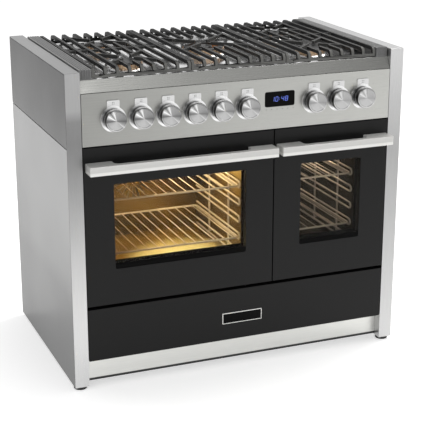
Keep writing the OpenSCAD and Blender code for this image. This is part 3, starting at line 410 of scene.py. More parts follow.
turnedReflectionLevels = {
    # turn from the left, anticlockwise in degrees: level of the metal there, which holds painted reflection wedges
    # and painted shade
    "face": {
        0: 0.13, 12: 0.36, 40: 0.46, 90: 0.48, 125: 0.42, 131: 0.36, 137: 0.62, 147: 0.36, 166: 0.22, 176: 0.12,
        188: 0.20, 210: 0.26, 240: 0.29, 270: 0.34, 279: 0.48, 287: 0.85, 298: 0.52, 305: 0.17, 314: 0.42,
        327: 0.90, 338: 0.50, 348: 0.22, 360: 0.13,
    },
    "wall front": {
        0: 0.02, 25: 0.03, 50: 0.20, 90: 0.38, 140: 0.34, 180: 0.26, 205: 0.08, 240: 0.04, 290: 0.04, 305: 0.12,
        316: 0.85, 326: 0.30, 334: 0.04, 360: 0.02,
    },
    "wall back": {
        0: 0.02, 30: 0.05, 60: 0.42, 90: 0.52, 180: 0.50, 220: 0.70, 240: 0.90, 288: 0.90, 300: 0.40, 310: 0.24,
        330: 0.05, 360: 0.02,
    },
    "ring": {
        0: 0.60, 20: 0.70, 45: 0.90, 62: 0.92, 80: 0.60, 110: 0.48, 180: 0.46, 215: 0.80, 290: 0.90, 308: 0.80,
        317: 0.34, 325: 0.36, 336: 0.75, 360: 0.60,
    },
}

turnedLook = {
    "faceEdge": (0.970, 0.985),        # share of a knob's radius where its face ends
    "ringEdge": (1.03, 1.06),          # share of a bezel's radius where its ring ends
    "ringRadius": 0.035,
    "wallDepth": (-0.3085, -0.3070),   # y where the front of a knob's wall turns to its back
    "tab": 0.66,
    # The knobs on the right stand nearer to the bright side, so their painted reflection wedges are mostly faded to
    # one level
    "fadeReach": (-0.30, 0.42), "fadeShare": 0.60, "fadeLevel": 0.52,
    "rings": 70.0, "streaks": 2.0,     # fineness of the scratches outwards and round
}


def turnedPlace(tree):
    # Where a point lies on a turned piece: its turn round the middle, from 0 to 1, and its distance, 1 at the rim
    own = tree.nodes.new("ShaderNodeTexCoord")
    parts = axisParts(tree, own.outputs["UV"])
    x, z = mathNode(tree, "SUBTRACT", parts["X"], 0.5), mathNode(tree, "SUBTRACT", parts["Y"], 0.5)
    turn = mathNode(tree, "DIVIDE", mathNode(tree, "ARCTAN2", z, x), 2 * math.pi)
    squares = mathNode(tree, "ADD", mathNode(tree, "MULTIPLY", x, x), mathNode(tree, "MULTIPLY", z, z))
    return mathNode(tree, "ADD", turn, 0.5), mathNode(tree, "MULTIPLY", mathNode(tree, "SQRT", squares), 2.0)


def reflectionWedgeTone(tree, turn, part):
    stops = [(degrees / 360, level) for degrees, level in turnedReflectionLevels[part].items()]
    return levelRamp(tree, turn, stops)


def knobReflectionTone(tree, place, turn, far):
    # Painted reflection wedges on the face, and painted shade and reflection on the wall
    parts = axisParts(tree, place)
    depth = rangeNode(tree, parts["Y"], *turnedLook["wallDepth"], 0.0, 1.0)
    wall = mixColour(tree, depth, reflectionWedgeTone(tree, turn, "wall front"), reflectionWedgeTone(tree, turn, "wall back"))
    fade = rangeNode(tree, parts["X"], *turnedLook["fadeReach"], 0.0, turnedLook["fadeShare"])
    face = mixColour(tree, fade, reflectionWedgeTone(tree, turn, "face"), grey(turnedLook["fadeLevel"]))
    return mixColour(tree, rangeNode(tree, far, *turnedLook["faceEdge"], 0.0, 1.0), face, wall)


def bezelReflectionTone(tree, place, turn, far):
    # Painted reflection round the ring; the tab keeps its own tone
    edge = rangeNode(tree, far, *turnedLook["ringEdge"], 0.0, 1.0)
    return mixColour(tree, edge, reflectionWedgeTone(tree, turn, "ring"), grey(turnedLook["tab"]))


def turnedMetal(name, roughness, tone):
    # Turned metal: fine rings round the middle of each piece, with light and dark wedges painted in as reflections
    material, tree, shader, place = newMaterial(name)
    turn, far = turnedPlace(tree)
    rings = tree.nodes.new("ShaderNodeCombineXYZ")
    tree.links.new(mathNode(tree, "MULTIPLY", far, turnedLook["rings"]), rings.inputs["X"])
    tree.links.new(mathNode(tree, "MULTIPLY", turn, turnedLook["streaks"]), rings.inputs["Y"])
    colour = tone(tree, place, turn, far)
    brushed(tree, shader, place, rings.outputs[0], colour, roughness, sheetGrain["fineRelief"])
    return material


def shadeAlong(tree, place, axis, stops):
    # A level that changes along one axis, from (metres, level) pairs
    low, high = stops[0][0], stops[-1][0]
    share = rangeNode(tree, axisParts(tree, place)[axis], low, high, 0.0, 1.0)
    return levelRamp(tree, share, [((spot - low) / (high - low), value) for spot, value in stops])


def brushSheet(tree, shader, place, colour, along, roughness):
    # along is the axis that the scratches follow
    stretch = [sheetGrain["along" if letter == along else "across"] for letter in "xyz"]
    ends = (roughness - sheetGrain["smoother"], roughness + sheetGrain["rougher"])
    brushed(tree, shader, place, scaled(tree, place, stretch), colour, ends, sheetGrain["relief"])


def shadedSteel(name, along, roughness, axis, stops, tint=(1, 1, 1, 1)):
    # Brushed steel with a slow change of tone along one axis, which is painted reflection of the bright floor and
    # painted shade
    material, tree, shader, place = newMaterial(name)
    brushSheet(tree, shader, place, tinted(tree, shadeAlong(tree, place, axis, stops), tint), along, roughness)
    return material


def sidedShadedSteel(name, roughness, left, right):
    # The sheets on the left and on the right have their own painted reflection and painted shade along their height
    material, tree, shader, place = newMaterial(name)
    side = rangeNode(tree, axisParts(tree, place)["X"], -0.1, 0.1, 0.0, 1.0)
    colour = mixColour(tree, side, shadeAlong(tree, place, "Z", left), shadeAlong(tree, place, "Z", right))
    brushSheet(tree, shader, place, colour, "z", roughness)
    return material


plinthLook = {
    # lighter at the left than at the right: a painted reflection
    "levels": [(-0.46, 0.78), (0.46, 0.66)],
    "tint": (0.997, 1.0, 0.965, 1),
    "roughness": 0.34,
    "strip": (0.0065, 0.0080),    # height over which the black strip of painted shadow ends
    "stripLevel": 0.012,
}


def plinthSteel(name):
    # Bright sheet, lighter at the left as a painted reflection, with a black strip along its lower edge that is a
    # painted shadow
    material, tree, shader, place = newMaterial(name)
    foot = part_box("plinth")[0][2]
    low, high = (foot + height for height in plinthLook["strip"])
    clearOfShadowStrip = rangeNode(tree, axisParts(tree, place)["Z"], low, high, 0.0, 1.0)
    steel = tinted(tree, shadeAlong(tree, place, "X", plinthLook["levels"]), plinthLook["tint"])
    colour = mixColour(tree, clearOfShadowStrip, grey(plinthLook["stripLevel"]), steel)
    brushSheet(tree, shader, place, colour, "x", plinthLook["roughness"])
    tree.links.new(clearOfShadowStrip, shader.inputs["Metallic"])
    return material


panelTint = (0.997, 1.0, 0.955, 1)

hobLook = {
    "deckEdge": (-0.2625, -0.2605),    # y where the lip ends and the deck begins
    "deck": 0.93, "deckMetallic": 0.85, "deckRoughness": (0.07, 0.11),
    "lip": [(0, 0.95), (0.06, 0.74), (0.35, 0.56), (0.75, 0.44), (1, 0.34)],    # share from left to right, level: a painted reflection, bright at the left end and fading to the right
    "lipEnds": (-0.46, 0.46),
    "lipRoughness": (0.22, 0.32),
    "lipMetallic": (-0.46, -0.15, 0.45, 1.0),    # from and to in x, value at each
    "stretch": (16, 1400, 1400),
}


def hobSteel(name):
    # The pressed sheet under the grates is polished, and its front lip is brushed, with a painted reflection that
    # fades from the left end to the right
    material, tree, shader, place = newMaterial(name)
    parts = axisParts(tree, place)
    deck = rangeNode(tree, parts["Y"], *hobLook["deckEdge"], 0.0, 1.0)
    lip = levelRamp(tree, rangeNode(tree, parts["X"], *hobLook["lipEnds"], 0.0, 1.0), hobLook["lip"])
    colour = mixColour(tree, deck, tinted(tree, lip, panelTint), grey(hobLook["deck"]))
    pattern = scaled(tree, place, hobLook["stretch"])
    node = brushed(tree, shader, place, pattern, colour, (0.0, 1.0), sheetGrain["fineRelief"])
    rough = node.outputs["Roughness"]
    onLip = rangeNode(tree, rough, 0.0, 1.0, *hobLook["lipRoughness"])
    onDeck = rangeNode(tree, rough, 0.0, 1.0, *hobLook["deckRoughness"])
    tree.links.new(mixValue(tree, deck, onLip, onDeck), shader.inputs["Roughness"])
    metal = mixValue(tree, deck, rangeNode(tree, parts["X"], *hobLook["lipMetallic"]), hobLook["deckMetallic"])
    tree.links.new(metal, shader.inputs["Metallic"])
    return material


ironLook = {
    "light": 0.018, "dark": 0.010, "scale": 420.0, "roughness": (0.36, 0.50), "strength": 0.5, "specular": 0.16,
    "edge": (0.24, 0.03),              # level and warmth of the lighter edges: rubbed wear and painted highlight
    "edgeWearAndHighlight": (0.3, 0.6, 0.5, 1.0),
    "front": (1.0, 1.0, 0.95, 1),      # mixed into what faces the front: a painted reflection of the bright floor
    "frontFacing": (0.2, 0.9, 0.0, 0.17),
    "frontReach": (-0.24, -0.22, 1.0, 0.3),
    # painted shade, darker towards the back
    "rear": 0.003, "rearReach": (0.02, 0.24, 0.0, 0.75),
}


def readAttribute(tree, name):
    node = tree.nodes.new("ShaderNodeAttribute")
    node.attribute_name = name
    return node.outputs["Fac"]


def castIron(name):
    # Enamelled castings, lighter along their rounded edges as rubbed wear and painted highlight, lighter where they
    # face the front as a painted reflection of the floor, and darker towards the back as painted shade
    material, tree, shader, place = newMaterial(name)
    node = mottled(
        tree, shader, place, ironLook["scale"], grey(ironLook["light"]), grey(ironLook["dark"]),
        ironLook["roughness"], ironLook["strength"],
    )
    depth = axisParts(tree, place)["Y"]
    wear = rangeNode(tree, node.outputs["Height"], *ironLook["edgeWearAndHighlight"])
    worn = mathNode(tree, "MULTIPLY", readAttribute(tree, "rounded"), wear)
    facing = rangeNode(tree, readAttribute(tree, "facing"), *ironLook["frontFacing"])
    front = mathNode(tree, "MULTIPLY", facing, rangeNode(tree, depth, *ironLook["frontReach"]))
    iron = mixColour(tree, front, node.outputs["Colour"], ironLook["front"])
    iron = mixColour(tree, worn, iron, grey(*ironLook["edge"]))
    rear = rangeNode(tree, depth, *ironLook["rearReach"])
    tree.links.new(mixColour(tree, rear, iron, grey(ironLook["rear"])), shader.inputs["Base Color"])
    shader.inputs["Specular IOR Level"].default_value = ironLook["specular"]
    return material


enamelLook = {
    "lampLitAmber": (0.150, 0.090, 0.014, 1),
    "smallOvenShaded": (0.014, 0.009, 0.004, 1),
    "ovenWall": (0.07, 0.09),          # x between the two ovens
    "spots": [
        # middle, reach, colour: painted light, pale where the lamp shines on the floor and the wall, and painted
        # shade, dark in the far corner
        ((-0.09, -0.14, 0.273), (0.22, 0.24, 0.05), (0.95, 0.90, 0.58, 1)),
        ((0.052, -0.10, 0.66), (0.05, 0.30, 0.20), (0.70, 0.55, 0.22, 1)),
        ((0.00, 0.15, 0.50), (0.22, 0.20, 0.16), (0.030, 0.013, 0.008, 1)),
    ],
    "spotCore": 0.35,                  # share of the reach that is fully in the spot
    "scale": 500.0, "shade": 0.25, "roughness": (0.26, 0.36), "strength": 0.08, "specular": 0.4,
}


def nearness(tree, place, middle, reach):
    # 1 near the middle of a soft round region, 0 beyond its reach
    for operation, values in (("SUBTRACT", middle), ("DIVIDE", reach)):
        node = tree.nodes.new("ShaderNodeVectorMath")
        node.operation = operation
        tree.links.new(place, node.inputs[0])
        node.inputs[1].default_value = values
        place = node.outputs[0]
    return rangeNode(tree, vectorLength(tree, place), enamelLook["spotCore"], 1.0, 1.0, 0.0)


def ovenEnamel(name):
    # The amber is painted lamp light, the spots are painted light and shade, and the small oven is painted darker as
    # painted shade
    material, tree, shader, place = newMaterial(name)
    small = rangeNode(tree, axisParts(tree, place)["X"], *enamelLook["ovenWall"], 0.0, 1.0)
    colour = mixColour(tree, small, enamelLook["lampLitAmber"], enamelLook["smallOvenShaded"])
    for middle, reach, tone in enamelLook["spots"]:
        colour = mixColour(tree, nearness(tree, place, middle, reach), colour, tone)
    dark = mixColour(tree, enamelLook["shade"], colour, grey(0.0))
    mottled(
        tree, shader, place, enamelLook["scale"], colour, dark, enamelLook["roughness"], enamelLook["strength"],
    )
    shader.inputs["Specular IOR Level"].default_value = enamelLook["specular"]
    return material


wireLook = {
    "shadedEnd": (0.52, 0.42, 0.38, 1), "brightEnd": (0.90, 0.86, 0.93, 1),
    "reach": (-0.34, -0.06),           # x from the painted shaded end to the bright one
    "scale": 300.0, "shade": 0.08, "roughness": (0.22, 0.28), "strength": 0.05, "metallic": 0.25,
}


def ovenWire(name):
    # Plated wire, darker towards the left of the large oven as painted shade
    material, tree, shader, place = newMaterial(name)
    brightEnd = rangeNode(tree, axisParts(tree, place)["X"], *wireLook["reach"], 0.0, 1.0)
    colour = mixColour(tree, brightEnd, wireLook["shadedEnd"], wireLook["brightEnd"])
    dark = mixColour(tree, wireLook["shade"], colour, grey(0.0))
    mottled(
        tree, shader, place, wireLook["scale"], colour, dark, wireLook["roughness"], wireLook["strength"],
        wireLook["metallic"],
    )
    return material


handleLook = {
    "levels": [(0, 1.0), (0.30, 0.98), (0.40, 0.74), (0.86, 0.76), (1, 0.86)],    # share of the height, level: a painted highlight along the lower part and painted light on the top
    "tint": (1.0, 0.995, 0.965, 1),
    "stretch": (12, 1100, 1100), "roughness": (0.26, 0.38), "relief": (0.00004, 0.2), "metallic": 0.30,
}


def satinHandle(name):
    # Satin metal, part of whose light comes from all round, so that the tops of the brackets aren't black mirrors.
    # The levels along its height are a painted highlight low down and painted light on top
    material, tree, shader, place = newMaterial(name)
    low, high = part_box("left_door_handle")
    share = rangeNode(tree, axisParts(tree, place)["Z"], low[2], high[2], 0.0, 1.0)
    colour = tinted(tree, levelRamp(tree, share, handleLook["levels"]), handleLook["tint"])
    brushed(
        tree, shader, place, scaled(tree, place, handleLook["stretch"]), colour, handleLook["roughness"],
        handleLook["relief"], handleLook["metallic"],
    )
    return material


glassLook = {
    "colour": (0.85, 0.82, 0.74, 1), "ior": 1.14, "specular": 0.35,
    "printRise": 0.026, "printEdge": 0.001,    # height of the printed band, and how soft its edge is
    "smearScale": 9.0, "smearRange": (0.3, 0.7, 0.0, 0.02),
}


def paneGlass(name):
    # Clear glass with a black printed band along its lower edge
    material, tree, shader, place = newMaterial(name)
    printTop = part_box("left_door_glass")[0][2] + glassLook["printRise"]
    clear = rangeNode(tree, axisParts(tree, place)["Z"], printTop, printTop + glassLook["printEdge"], 0.0, 1.0)
    tree.links.new(mixColour(tree, clear, grey(0.0), glassLook["colour"]), shader.inputs["Base Color"])
    shader.inputs["Transmission Weight"].default_value = 1.0
    shader.inputs["IOR"].default_value = glassLook["ior"]
    shader.inputs["Specular IOR Level"].default_value = glassLook["specular"]
    smear = noiseNode(tree, place, glassLook["smearScale"], 3, 0.6)
    tree.links.new(rangeNode(tree, smear, *glassLook["smearRange"]), shader.inputs["Roughness"])
    return material


def glowing(name, colour, glow, strength):
    material, _, shader, _ = newMaterial(name)
    shader.inputs["Base Color"].default_value = colour
    shader.inputs["Roughness"].default_value = 0.3
    shader.inputs["Emission Color"].default_value = glow
    shader.inputs["Emission Strength"].default_value = strength
    return material


paintedSheetLevels = {
    # height, or place from left to right, in metres, and the level of the steel there, which holds painted reflection
    # and painted shade
    "trim left": [
        (0.0, 0.68), (0.2, 0.62), (0.36, 0.50), (0.53, 0.35), (0.65, 0.25), (0.71, 0.22), (0.77, 0.24),
        (0.80, 0.37), (0.9, 0.395),
    ],
    "trim right": [(0.0, 0.54), (0.4, 0.41), (0.6, 0.37), (0.74, 0.48), (0.9, 0.62)],
    "side": [(0.0, 0.145), (0.27, 0.18), (0.33, 0.235), (0.5, 0.30), (0.7, 0.33)],
    "upper left": [(0.69, 0.115), (0.9, 0.062)],
    "upper right": [(0.69, 0.19), (0.9, 0.15)],
    "panel": [(-0.46, 0.31), (0.0, 0.42), (0.46, 0.49)],
}

coats = {
    # light tone, dark tone and roughness; then fineness, strength of the relief, metallic and specular
    "galvanised": (grey(0.46), grey(0.34), 0.38, 60, 0.05, 1.0),
    "chassis_paint": (grey(0.035), grey(0.028), 0.5),
    "foot_plastic": (grey(0.02), grey(0.015), 0.6),
    "rail_paint": (grey(0.20), grey(0.16), 0.42, 260, 0.2),
    "cup_aluminium": (grey(0.86), grey(0.76), 0.22, 500, 0.2, 1.0),
    "head_brass": ((0.90, 0.66, 0.45, 1), (0.74, 0.50, 0.31, 1), 0.28, 240, 0.2, 1.0),
    "cap_enamel": (grey(0.025), grey(0.016), 0.40, 350, 0.25),
    "electrode_ceramic": (grey(0.80, 0.02), grey(0.72, 0.02), 0.3),
    "pipe_aluminium": (grey(0.55), grey(0.45), 0.35, 200, 0.1, 1.0),
    "clock_glass": (grey(0.003), grey(0.002), 0.08, 100, 0.0, 0.0, 0.06),
    "spindle_steel": (grey(0.5), grey(0.42), 0.3, 300, 0.1, 1.0),
    "valve_brass": ((0.62, 0.45, 0.22, 1), (0.50, 0.35, 0.16, 1), 0.32, 200, 0.15, 1.0),
    "switch_plastic": (grey(0.74, 0.03), grey(0.68, 0.03), 0.5),
    "pipe_steel": (grey(0.48), grey(0.40), 0.35, 200, 0.1, 1.0),
    "seal_rubber": (grey(0.015), grey(0.011), 0.65),
    "fan_aluminium": (grey(0.55), grey(0.46), 0.36, 200, 0.1, 1.0),
    "motor_paint": (grey(0.12), grey(0.09), 0.45),
    "element_steel": ((0.13, 0.10, 0.08, 1), (0.09, 0.07, 0.055, 1), 0.42, 300, 0.2, 1.0),
    "door_paint": (grey(0.0075), grey(0.0055), 0.34, 900, 0.06, 0.0, 0.20),
    "liner_enamel": (grey(0.012), grey(0.009), 0.35, 500, 0.1, 0.0, 0.3),
    "mark_ink": (grey(0.06), grey(0.05), 0.5),
}

materials = {
    "steel_trim": sidedShadedSteel("steel_trim", 0.30, paintedSheetLevels["trim left"], paintedSheetLevels["trim right"]),
    "steel_side": shadedSteel("steel_side", "z", 0.34, "Z", paintedSheetLevels["side"]),
    "steel_upper_side": sidedShadedSteel(
        "steel_upper_side", 0.36, paintedSheetLevels["upper left"], paintedSheetLevels["upper right"],
    ),
    "steel_panel": shadedSteel("steel_panel", "x", 0.30, "X", paintedSheetLevels["panel"], panelTint),
    "steel_hob": hobSteel("steel_hob"),
    "steel_plinth": plinthSteel("steel_plinth"),
    "grate_iron": castIron("grate_iron"),
    "bezel_metal": turnedMetal("bezel_metal", (0.24, 0.33), bezelReflectionTone),
    "knob_metal": turnedMetal("knob_metal", (0.20, 0.29), knobReflectionTone),
    "oven_enamel": ovenEnamel("oven_enamel"),
    "wire_chrome": ovenWire("wire_chrome"),
    "lamp_glass": glowing("lamp_glass", (1.0, 0.9, 0.7, 1), (1.0, 0.72, 0.34, 1), 2.6),
    "door_glass": paneGlass("door_glass"),
    "handle_metal": satinHandle("handle_metal"),
}
for coatName, coat in coats.items():
    materials[coatName] = coated(coatName, *coat)
print("materials made:", len(materials))


# Finish of the solid pieces

def paint(obj, material):
    if not obj.material_slots:
        obj.data.materials.append(material)
    for place in obj.material_slots:
        place.material = material


def makeActive(obj):
    bpy.ops.object.select_all(action="DESELECT")
    obj.select_set(True)
    bpy.context.view_layer.objects.active = obj


for nodeName, nodeObject in frame["nodes"].items():
    paint(nodeObject, materials[slotOf[nodeName]])
print("solids painted")


softEdges = {
    # node: width of its rounded edges, and the length of the shortest edge that is rounded, in metres
    "side_trim_left": (0.0006, 0.004), "side_trim_right": (0.0006, 0.004),
    "upper_side_panels": (0.0004, 0.004), "lower_side_panels": (0.0004, 0.004),
    "plinth": (0.0006, 0.004), "control_panel": (0.0005, 0.010),
    "hob_top": (0.0005, 0.010), "side_rails": (0.0004, 0.02),
    "grate_left": (0.0009, 0.008), "grate_middle": (0.0009, 0.008), "grate_right": (0.0009, 0.008),
    "burner_cups": (0.001, 0), "burner_caps": (0.0008, 0), "burner_heads": (0.0003, 0),
    "knob_bezels": (0.0006, 0), "levelling_feet": (0.0008, 0),
    "left_door_panel": (0.0008, 0.012), "right_door_panel": (0.0008, 0.012), "drawer_front": (0.0008, 0.012),
    "left_door_handle": (0.0012, 0.004), "right_door_handle": (0.0012, 0.004),
}
knobNames = [f"gas_knob_{index + 1}" for index in range(5)] + [f"oven_knob_{index + 1}" for index in range(4)]
softEdges.update((name, (0.0006, 0)) for name in knobNames)

rounding = {
    "merge": 0.00002,      # metres between points that are one
    "flat": 0.5,           # degrees between triangles of one face
    "sharp": 32,           # degrees at an edge that is rounded
    "smooth": 35,          # degrees up to which shading is smooth
    "segments": 2,
}


# Faces with an opening in them keep their triangles, because one face can't go round a hole
pierced = {
    "left_door_panel", "right_door_panel", "control_panel", "hob_top", "knob_bezels", "burner_caps",
    "grate_left", "grate_middle", "grate_right",
}


def selectSharpEdges(piece, shortest):
    # Leaves the sharp edges selected, but not the short ones of small holes and seams
    bpy.ops.mesh.select_all(action="DESELECT")
    bpy.ops.mesh.select_mode(type="EDGE")
    bpy.ops.mesh.edges_select_sharp(sharpness=math.radians(rounding["sharp"]))
    bpy.ops.object.mode_set(mode="OBJECT")
    mesh = piece.data
    kept = []
    for edge in mesh.edges:
        start, end = (mesh.vertices[index].co for index in edge.vertices)
        kept.append(edge.select and (end - start).length >= shortest)
    mesh.polygons.foreach_set("select", [False] * len(mesh.polygons))
    mesh.vertices.foreach_set("select", [False] * len(mesh.vertices))
    mesh.edges.foreach_set("select", kept)
    bpy.ops.object.mode_set(mode="EDIT")


def markFaces(piece, name, valueOf):
    # A number on each face, for its material to read
    attribute = piece.data.attributes.new(name, "FLOAT", "FACE")
    attribute.data.foreach_set("value", [float(valueOf(face)) for face in piece.data.polygons])


def roundEdges(nodeName, width, shortest):
    # A copy of the solid with its sharp edges rounded stands for it, so that they catch the light
    source = frame["nodes"][nodeName]
    piece = bpy.data.objects.new(nodeName + "_finished", source.data.copy())
    scene.collection.objects.link(piece)
    makeActive(piece)
    bpy.ops.mesh.customdata_custom_splitnormals_clear()
    bpy.ops.object.mode_set(mode="EDIT")
    bpy.ops.mesh.select_all(action="SELECT")
    bpy.ops.mesh.remove_doubles(threshold=rounding["merge"])
    if nodeName not in pierced:
        bpy.ops.mesh.dissolve_limited(angle_limit=math.radians(rounding["flat"]))
    bpy.ops.object.mode_set(mode="OBJECT")
    bpy.ops.object.shade_smooth_by_angle(angle=math.radians(rounding["smooth"]))
    bpy.ops.object.mode_set(mode="EDIT")
    selectSharpEdges(piece, shortest)
    # Hardened normals keep the broad faces flat up to their rounded edges
    bpy.ops.mesh.bevel(
        offset=width, segments=rounding["segments"], affect="EDGES", clamp_overlap=shortest == 0, harden_normals=True,
    )
    bpy.ops.object.mode_set(mode="OBJECT")
    markFaces(piece, "rounded", lambda face: face.select)
    markFaces(piece, "facing", lambda face: -face.normal.y)
    if nodeName.startswith("grate"):
        pressSpikes(piece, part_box(nodeName)[1][2])
    paint(piece, materials[slotOf[nodeName]])
    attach(piece, bodyOf[nodeName])
    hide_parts(nodeName)


def pressSpikes(piece, top):
    # Where short edges meet, a rounded edge can end in a spike above the casting, which is pressed back to its top
    high = [vertex.co.z > top for vertex in piece.data.vertices]
    bpy.ops.object.mode_set(mode="EDIT")
    bpy.ops.mesh.select_mode(type="VERT")
    bpy.ops.mesh.select_all(action="DESELECT")
    bpy.ops.object.mode_set(mode="OBJECT")
    piece.data.vertices.foreach_set("select", high)
    bpy.ops.object.mode_set(mode="EDIT")
    bpy.ops.transform.resize(value=(1, 1, 0), center_override=(0, 0, top))
    bpy.ops.object.mode_set(mode="OBJECT")


def mapTurned(piece, centres, radius):
    # Lays each turned part's front view on its own map, with its middle at the middle
    mesh = piece.data
    layer = mesh.uv_layers.new(name="turned")
    for loop in mesh.loops:
        x, y, z = mesh.vertices[loop.vertex_index].co
        centreX, centreZ = min(centres, key=lambda centre: abs(centre[0] - x))
        layer.data[loop.index].uv = (0.5 + (x - centreX) / (2 * radius), 0.5 + (z - centreZ) / (2 * radius))


for nodeName, (width, shortest) in softEdges.items():
    roundEdges(nodeName, width, shortest)

knobCentres = []
for knobName in knobNames:
    low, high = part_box(knobName)
    knobCentres.append(((low[0] + high[0]) / 2, (low[2] + high[2]) / 2))
    mapTurned(bpy.data.objects[knobName + "_finished"], knobCentres[-1:], (high[0] - low[0]) / 2)
mapTurned(bpy.data.objects["knob_bezels_finished"], knobCentres, turnedLook["ringRadius"])
print("edges rounded:", len(softEdges))


# Small pieces that only show: the clock's digits, key marks, bare badge plate, tab marks and screws

def finishPiece(piece, name, material, body):
    piece.name = name
    bpy.ops.object.shade_smooth_by_angle(angle=math.radians(rounding["smooth"]))
    paint(piece, material)
    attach(piece, body)


def settle(piece):
    makeActive(piece)
    bpy.ops.object.transform_apply(location=True, rotation=True, scale=True)


def joinAll(pieces):
    bpy.ops.object.select_all(action="DESELECT")
    for piece in pieces:
        piece.select_set(True)
    bpy.context.view_layer.objects.active = pieces[0]
    if len(pieces) > 1:
        bpy.ops.object.join()
    return bpy.context.object


def plate(low, high, radius, segments=3):
    # A box between two corners, with its edges rounded
    bpy.ops.mesh.primitive_cube_add(size=1)
    piece = bpy.context.object
    piece.location = [(low[i] + high[i]) / 2 for i in range(3)]
    piece.scale = [high[i] - low[i] for i in range(3)]
    settle(piece)
    bevel = piece.modifiers.new("edges", "BEVEL")
    bevel.width = radius
    bevel.segments = segments
    bpy.ops.object.modifier_apply(modifier="edges")
    return piece


def disc(centre, radius, depth, sides, rim):
    # A round plate that faces the front or the back, with its edges rounded
    bpy.ops.mesh.primitive_cylinder_add(vertices=sides, radius=radius, depth=depth)
    piece = bpy.context.object
    piece.rotation_euler = (math.radians(90), 0, 0)
    piece.location = centre
    settle(piece)
    bevel = piece.modifiers.new("rim", "BEVEL")
    bevel.width = rim
    bevel.segments = 2
    bpy.ops.object.modifier_apply(modifier="rim")
    return piece


clockFace = {
    "digits": "10:48",
    "height": 0.0125,
    "width": 0.55,         # share of the height
    "stroke": 0.0019,
    "gap": 0.12,           # share of the stroke, at each end of a bar
    "pitch": 0.0116,
    "colonPitch": 0.55,    # share of the pitch
    "colonDots": (0.3, 0.7),
    "start": 2.1,          # pitches left of the middle
    "lean": 0.10,
    "proud": 0.00002,      # metres in front of the glass
    "depth": 0.00012,
    "corner": 0.00004,
    "colour": (0.05, 0.1, 0.6, 1),
    "glow": (0.20, 0.27, 0.80, 1),
    "strength": 0.65,
}

segments = {
    # Lit bars of each digit: top, top left, top right, middle, low left, low right, bottom
    "0": (1, 1, 1, 0, 1, 1, 1), "1": (0, 0, 1, 0, 0, 1, 0), "4": (0, 1, 1, 1, 0, 1, 0), "8": (1, 1, 1, 1, 1, 1, 1),
}


def addClockDigits():
    low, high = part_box("clock")
    front = low[1] - clockFace["proud"]
    stroke, tall = clockFace["stroke"], clockFace["height"]
    wide = tall * clockFace["width"]
    inset = stroke * clockFace["gap"]
    middleX, middleZ = (low[0] + high[0]) / 2, (low[2] + high[2]) / 2
    bars = (
        (wide / 2, tall, wide, stroke), (0, tall * 0.75, stroke, tall / 2), (wide, tall * 0.75, stroke, tall / 2),
        (wide / 2, tall / 2, wide, stroke), (0, tall / 4, stroke, tall / 2), (wide, tall / 4, stroke, tall / 2),
        (wide / 2, 0, wide, stroke),
    )
    pieces = []
    x = middleX - clockFace["pitch"] * clockFace["start"]
    for mark in clockFace["digits"]:
        spots = [bar for bar, lit in zip(bars, segments.get(mark, ())) if lit]
        if mark == ":":
            spots = [(0, tall * share, stroke, stroke) for share in clockFace["colonDots"]]
        for alongX, alongZ, width, height in spots:
            left = x + alongX + (alongZ - tall / 2) * clockFace["lean"]
            z = middleZ - tall / 2 + alongZ
            pieces.append(plate(
                (left - width / 2 + inset, front, z - height / 2 + inset),
                (left + width / 2 - inset, front + clockFace["depth"], z + height / 2 - inset),
                clockFace["corner"], 1,
            ))
        x += clockFace["pitch"] * (clockFace["colonPitch"] if mark == ":" else 1.0)
    digits = joinAll(pieces)
    glow = glowing("digit_light", clockFace["colour"], clockFace["glow"], clockFace["strength"])
    finishPiece(digits, "clock_digits", glow, bodyOf["clock"])


keyMarks = {
    "count": 6, "drop": 0.0033, "radius": 0.0011, "spread": 0.082, "depth": 0.0002, "sides": 12, "rim": 0.00006,
}


def addKeyMarks():
    # A row of small dots under the clock
    low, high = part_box("clock")
    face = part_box("control_panel")[0][1]
    middle = (low[0] + high[0]) / 2
    pieces = []
    for index in range(keyMarks["count"]):
        x = middle + keyMarks["spread"] * (index / (keyMarks["count"] - 1) - 0.5)
        centre = (x, face - keyMarks["depth"] / 2, low[2] - keyMarks["drop"])
        pieces.append(disc(centre, keyMarks["radius"], keyMarks["depth"], keyMarks["sides"], keyMarks["rim"]))
    finishPiece(joinAll(pieces), "key_marks", materials["mark_ink"], bodyOf["control_panel"])


badge = {
    "left": -0.058, "right": 0.065, "low": 0.1345, "high": 0.1675,
    "depth": 0.0016, "rim": 0.0022, "corner": 0.0006,
    "fieldProud": 0.0002, "fieldSunk": 0.0004, "fieldCorner": 0.0002,
}


def addBadge():
    # A bare plate: a metal rim with a dark field
    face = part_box("drawer_front")[0][1]
    frontY = face - badge["depth"]
    left, right, low, high = (badge[side] for side in ("left", "right", "low", "high"))
    base = plate((left, frontY, low), (right, face, high), badge["corner"])
    finishPiece(base, "badge_rim", materials["handle_metal"], bodyOf["drawer_front"])
    rim = badge["rim"]
    field = plate(
        (left + rim, frontY - badge["fieldProud"], low + rim),
        (right - rim, frontY + badge["fieldSunk"], high - rim), badge["fieldCorner"],
    )
    finishPiece(field, "badge_field", materials["clock_glass"], bodyOf["drawer_front"])


tabMarks = {
    "count": 4, "rise": 0.0435, "radius": 0.0030, "dot": 0.0011, "depth": 0.0002, "sides": 10, "rim": 0.00006,
}


